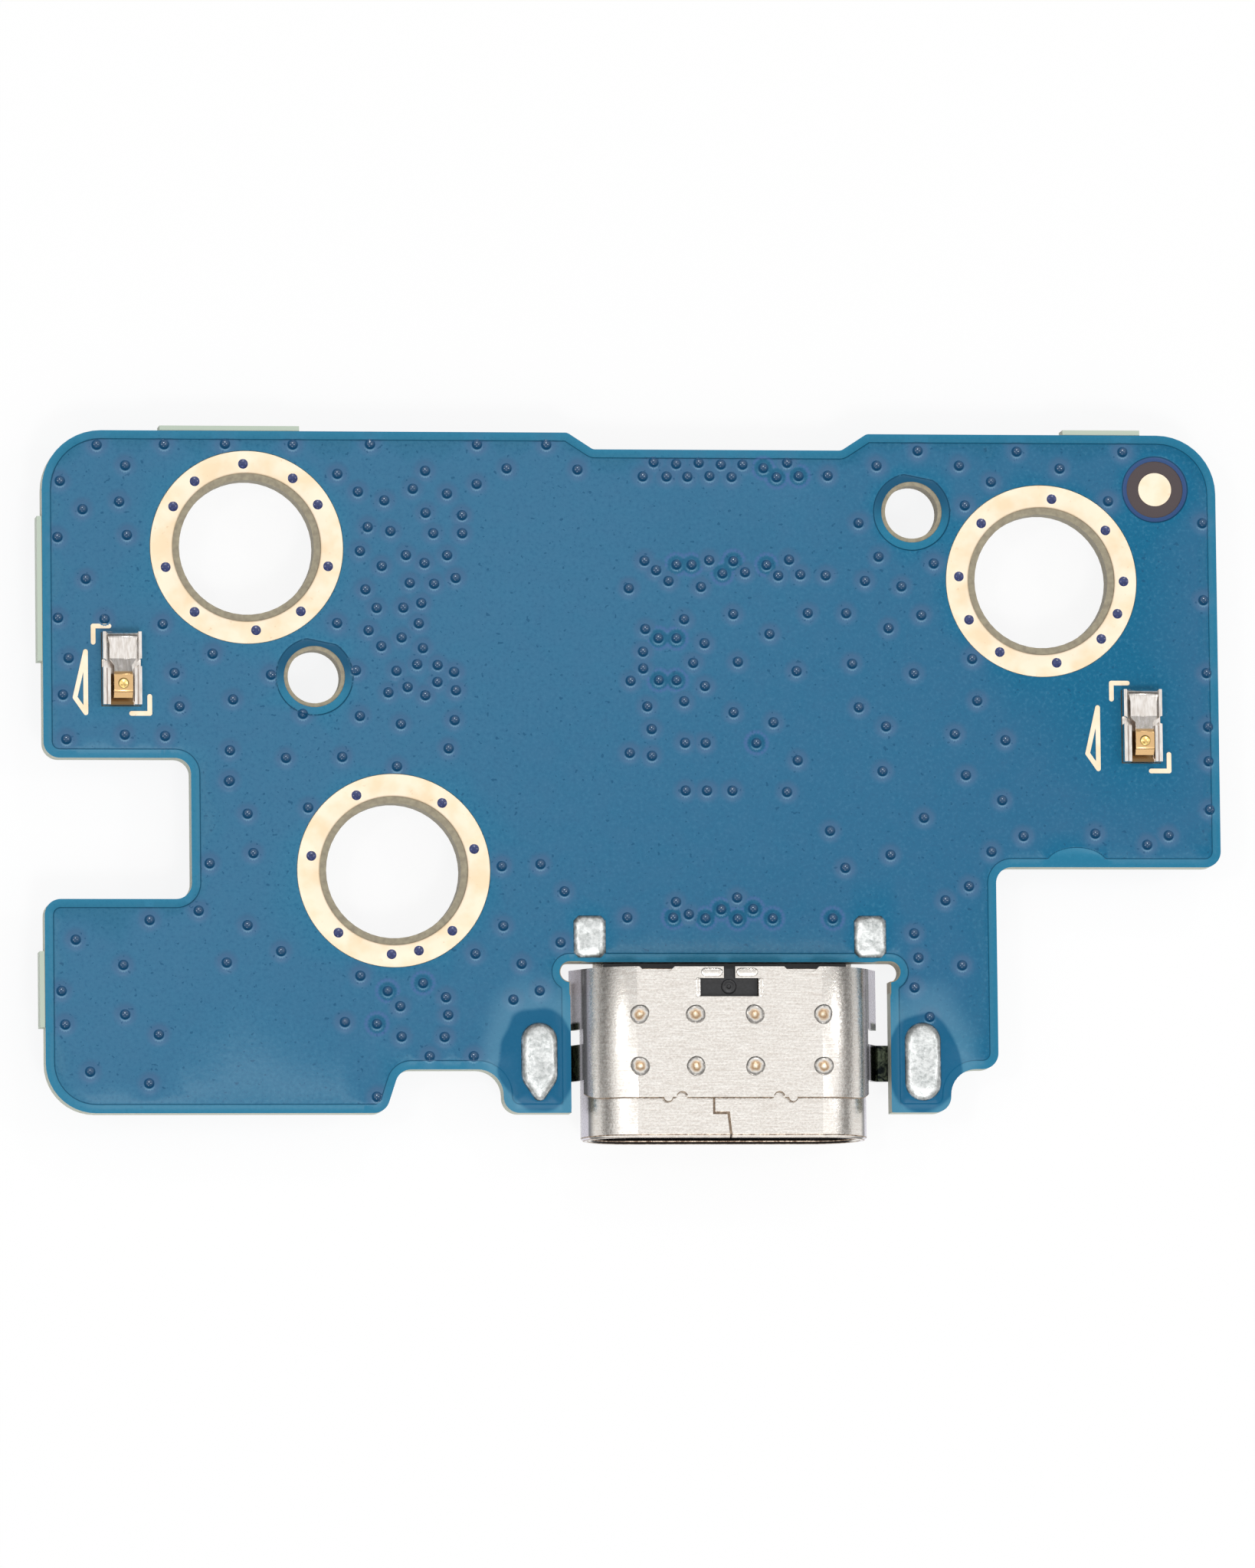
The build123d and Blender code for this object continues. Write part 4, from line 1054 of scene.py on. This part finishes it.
def add_cover_marks():
    """Spot welds, lugs and slot ends of the cover, the mould mark in its slot, and a brown sheet of painted
    shade in the seam.
    """
    middle = PORT_MIDDLE.x
    rear = COVER_HIGH.y
    top = COVER_HIGH.z
    welds = []
    for i, across in enumerate(WELD_ACROSS):
        for j, behind in enumerate(WELD_BEHIND):
            centre = (middle + across, rear - behind)
            welds.append(lathe(centre, WELD_RADII, WELD_HEIGHTS, top, "away", 0.035, 1.7 * i + 2.9 * j))
    add_piece("cover_spot_welds", join_meshes("welds", welds), "port_steel", finish=WELD_MARK)

    boss = box_mm("port_insulator")[1].z
    mark = lathe((middle, rear - MOULD_MARK_IN_FRONT), MOULD_MARK_RADII, MOULD_MARK_HEIGHTS, boss)
    add_piece("boss_mould_mark", mark, "black_moulding")

    lugs = []
    for turn in (-1, 1):
        y = rear - LUG_IN_FRONT
        ends = [(middle + turn * across, y) for across in (LUG_INNER, LUG_INNER + LUG_LENGTH)]
        ring = capsule(*ends, LUG_RADIUS)
        lugs.append(pillow(ring, top, LUG_RADIUS, LUG_RISE))
        x = middle + turn * SLOT_END_ACROSS
        ring = capsule(*((x, rear - in_front) for in_front in SLOT_END_IN_FRONT), SLOT_END_RADIUS)
        lugs.append(pillow(ring, top, SLOT_END_RADIUS, LUG_RISE / 2))
    add_piece("cover_lugs", join_meshes("lugs", lugs), "port_steel")

    # The seam's depth: a brown sheet of painted shade just under the tube's top
    left, right = (middle + side for side in SEAM_SIDES)
    front, back = TUBE_LOW.y + SEAM_MARGIN, COVER_LOW.y + SEAM_MARGIN
    corners = [(left, front), (right, front), (right, back), (left, back)]
    level = TUBE_HIGH.z - SEAM_DROP
    seam = plate([corners], np.zeros((0, 2)), flat_at(level), level - SEAM_DEPTH)
    add_piece("tube_seam_shade", seam, "port_steel", finish=SEAM_AND_EDGE_SHADE)


def add_marks():
    """Gilded corner marks and triangles with rounded ends, in place of the plain ones."""
    for side, (*corner_marks, triangle) in MARKS.items():
        meshes = []
        for mark in corner_marks:
            corner, first, second = photo_places(mark)
            u, v = unit(first - corner), unit(second - corner)
            turn = np.linspace(0, math.pi, 10)[:, None]
            quarter = np.linspace(0, math.pi / 2, 8)[:, None]
            ring = [
                first + MARK_RADIUS * (np.cos(turn) * v + np.sin(turn) * u),
                corner - MARK_RADIUS * (np.cos(quarter) * v + np.sin(quarter) * u),
                second + MARK_RADIUS * (np.sin(turn) * v - np.cos(turn) * u),
                [corner + MARK_RADIUS * (u + v)],
            ]
            meshes.append(film_mark([np.concatenate(ring)]))
        corners = photo_places(triangle)
        outer, inner = [], []
        for i in range(3):
            here, before, after = corners[i], corners[i - 1], corners[(i + 1) % 3]
            back, ahead = unit(before - here), unit(after - here)
            half = math.acos(back @ ahead) / 2
            inward = unit(back + ahead)
            inner.append(here + inward * MARK_RADIUS / math.sin(half))
            middle = math.atan2(-inward[1], -inward[0])
            spread = math.pi / 2 - half
            turns = middle + np.linspace(-spread, spread, 8)
            if (back[0] * ahead[1] - back[1] * ahead[0]) > 0:
                turns = turns[::-1]
            outer += [here + MARK_RADIUS * np.array((math.cos(t), math.sin(t))) for t in turns]
        meshes.append(film_mark([outer, inner]))
        name = f"{side}_position_marks"
        add_piece(f"{side}_rounded_marks", join_meshes(name, meshes), "gilded_copper", [name])


def add_dimples():
    """The dimple in the gilded end of each spring contact."""
    for side in SIDES:
        low, high = box_mm(f"{side}_spring_contact")
        centre = ((low.x + high.x) / 2, low.y + DIMPLE_IN)
        mark = lathe(centre, DIMPLE_RADII, DIMPLE_HEIGHTS, high.z)
        add_piece(f"{side}_spring_dimple", mark, "port_contact_gold")


def photo_places(places):
    """Places on the board in millimetres from the photo's pixels."""
    middle_x, middle_y = PHOTO_CENTRE
    return [np.array((x - middle_x, middle_y - y)) / PHOTO_SCALE for x, y in places]


def film_mark(rings):
    """A flat mark on the film."""
    return plate(rings, np.zeros((0, 2)), flat_at(FILM_HIGH.z + MARK_RISE), FILM_HIGH.z - MARK_SINK)


def add_film():
    """The blue film, lower where no copper lies under it and with a bowl at each via."""
    name = "upper_solder_mask"
    outlines = face_outlines(name)
    border = outlines[0]
    grown = dense(border, EDGE_POINTS)
    near = np.min([away_from(relief, grown) for relief in RELIEF_PLACES], axis=0)
    grown = grown + outward(grown) * (EDGE_GROWTH * smooth(near, RELIEF_REACH, RELIEF_END))[:, None]
    domes = {joint: joint_outline(joint) for joint in DOMED_JOINTS}
    middles = np.array([ring.mean(axis=0) for ring in domes.values()])
    openings = [ring for ring in outlines[1:] if not is_inside(middles, ring).any()] + list(domes.values())
    places, ringed = film_vias()
    clear = is_clear(places, border, 0.3, openings, VIA_RADIUS + 0.03)
    places, ringed = places[clear], ringed[clear]
    narrow, wide = LOCATOR_WIDTHS
    locators = [ring.mean(axis=0) for ring in openings if narrow < np.ptp(ring[:, 0]) < wide]
    fiducial = middle_mm("fiducial_pad").xy

    def spread(points):
        """How far the nearest via is, whether it has a ring, and how far in front of it a point lies."""
        nearest = np.full(len(points), 9.0)
        marked = np.zeros(len(points))
        forward = np.zeros(len(points))
        for (x, y), has_ring in zip(places, ringed):
            away = away_from((x, y), points)
            closer = away < nearest
            nearest[closer] = away[closer]
            marked[closer] = has_ring
            forward[closer] = y - points[closer, 1]
        return nearest, marked, forward

    def cover(points):
        """One over copper, zero where the film lies on bare laminate."""
        share = stepped(distance_to(points, border), STEP_FROM_EDGE)
        for centre in locators:
            chord = points[:, 1] - centre[1] + LOCATOR_CHORD_SLOPE * (points[:, 0] - centre[0])
            out = stepped(away_from(centre, points), LOCATOR_STEP_RADIUS)
            share = np.minimum(share, np.maximum(out, stepped(chord, LOCATOR_CHORD_HEIGHT)))
        share = np.minimum(share, stepped(away_from(fiducial, points), FIDUCIAL_STEP_RADIUS))
        moon = np.hypot(*((points - HALF_MOON_PLACE) / HALF_MOON_RADII).T)
        return np.minimum(share, stepped(moon, 1.0))

    def heights(points):
        away, marked, _ = spread(points)
        bowl = -VIA_DEPTH * (1 - (away / VIA_RADIUS) ** 2)
        rim = VIA_RIM * ridge(away, VIA_RADIUS + 0.02, 0.02)
        halo = HALO_RISE * (1 - smooth(away, HALO_RADIUS - 0.04, HALO_RADIUS + 0.06)) * (1 - marked)
        ring = RING_RISE * marked * ridge(away, RING_PLACE, RING_WIDTH)
        relief = np.where(away < VIA_RADIUS, bowl + HALO_RISE * (1 - marked), halo + rim + ring)
        return FILM_HIGH.z - FILM_DROP * (1 - cover(points)) + relief * (away < VIA_REACH)

    def values(points):
        away, marked, forward = spread(points)
        lower = np.clip(forward / np.maximum(away, 0.01), 0, 1) ** 2
        moat = marked * smooth(away, 0.15, 0.18) * (1 - smooth(away, 0.27, 0.31))
        halo = 1 - 0.3 * smooth(away, 0.27, 0.33) - 0.7 * smooth(away, 0.3, 0.62)
        step = cover(points)
        by_hole = np.zeros(len(points))
        for centre in locators:
            reach = away_from(centre, points)
            rearward = (points[:, 1] - centre[1]) / np.maximum(reach, 0.1)
            by_hole += (reach < 1.5) * smooth(rearward, -0.75, 0.5)
        return {
            "deep": np.maximum((1 - step) * by_hole, 0.5 * moat),
            "ring": marked * ridge(away, RING_PLACE, RING_WIDTH),
            "violet": (1 - step) * (away_from(fiducial, points) < 1.1),
            "via": 1 - smooth(away, VIA_RADIUS - 0.01, VIA_RADIUS + 0.02),
            "glint": lower * ridge(away, VIA_RADIUS + 0.03, 0.02),
            "halo": halo * (1 - marked * (away < 0.3)),
            "bare": 1 - step,
            # a dark line of painted shade where the film steps down
            "edge": 4 * step * (1 - step),
        }

    extra = []
    for x, y in places:
        extra.append([(x, y)])
        for i, radius in enumerate(VIA_POINT_RADII):
            extra.append(circle((x, y), radius, VIA_SPOKES, (i % 2) * (i > 6) * math.pi / VIA_SPOKES))
    for share in STEP_SHARES:
        grow = STEP_WIDTH * share
        for centre in locators:
            extra.append(circle(centre, LOCATOR_STEP_RADIUS + grow, 72))
            across = np.linspace(-0.9, 0.9, 30)
            up = centre[1] + LOCATOR_CHORD_HEIGHT + grow - LOCATOR_CHORD_SLOPE * across
            extra.append(np.column_stack((centre[0] + across, up)))
        extra.append(circle(fiducial, FIDUCIAL_STEP_RADIUS + grow, 72))
        extra.append(circle((0, 0), 1 + grow, 64) * HALF_MOON_RADII + HALF_MOON_PLACE)
    extra = np.concatenate(extra)
    extra = extra[is_clear(extra, border, 0.03, openings, 0.02)]
    creases = [inset(border, STEP_FROM_EDGE + STEP_WIDTH * share, EDGE_POINTS) for share in CREASE_SHARES]
    mesh = plate([grown, *openings], extra, heights, FILM_LOW.z, values, creases)
    depth = mesh.attributes["via"].data
    for face in mesh.polygons:
        face.material_index = int(all(depth[vert].value > 0.5 for vert in face.vertices))
    piece = add_piece("solder_mask_film", mesh, "solder_mask", [name])
    piece.data.materials.append(VIA_BOWL)


def rim_of(centre):
    """The dark line along a gilded ring's inner edge."""
    return lambda points: {"rim": np.exp(-(away_from(centre.xy, points) - RING_INNER) / 0.02)}


def add_rings():
    """The gilded rings with a plugged via at each of their directions."""
    for side, directions in RING_VIAS.items():
        name = f"{side}_ground_ring"
        low, high = box_mm(name)
        centre = (low + high) / 2
        rings = [circle(centre, RING_OUTER, 120), circle(centre, RING_INNER, 96)]
        plugs = []
        for direction in directions:
            angle = math.radians(direction)
            x = centre.x + RING_VIA_CIRCLE * math.cos(angle)
            y = centre.y + RING_VIA_CIRCLE * math.sin(angle)
            rings.append(circle((x, y), RING_VIA_RADIUS, PLUG_POINTS))
            plugs.append((x, y))
        inner = [circle(centre, RING_INNER + step, 96) for step in (0.02, 0.05)]
        mesh = plate(rings, np.concatenate(inner), flat_at(high.z), low.z, rim_of(centre))
        add_piece(f"{side}_gilded_ring", mesh, "gilded_copper", [name])
        add_plugs(f"{side}_ring_vias", plugs, high.z)


def add_plugs(name, places, top):
    """Small bowls of ink that close the vias of a gilded ring."""
    bm = bmesh.new()
    for x, y in places:
        centre = bm.verts.new((x, y, top - PLUG_MIDDLE_DROP))
        before = None
        for radius, drop in zip(PLUG_RADII, PLUG_DROPS):
            points = circle((x, y), radius * 0.998, PLUG_POINTS)
            ring = [bm.verts.new((px, py, top - drop)) for px, py in points]
            for i in range(PLUG_POINTS):
                j = (i + 1) % PLUG_POINTS
                if before:
                    bm.faces.new((before[i], ring[i], ring[j], before[j]))
                else:
                    bm.faces.new((centre, ring[i], ring[j]))
            before = ring
        bm.faces.new(list(reversed(before)))
    for face in bm.faces:
        face.smooth = True
    add_piece(name, to_mesh(name, bm), "solder_mask", finish=VIA_PLUG)


add_camera()
add_floor()
add_world()
for lamp in LAMPS:
    add_soft_light(*lamp)
dress_nodes()
add_film()
add_rings()
add_domes()
add_cover_marks()
add_edge_line()
add_marks()
add_dimples()

bpy.context.scene.view_settings.view_transform = "Standard"
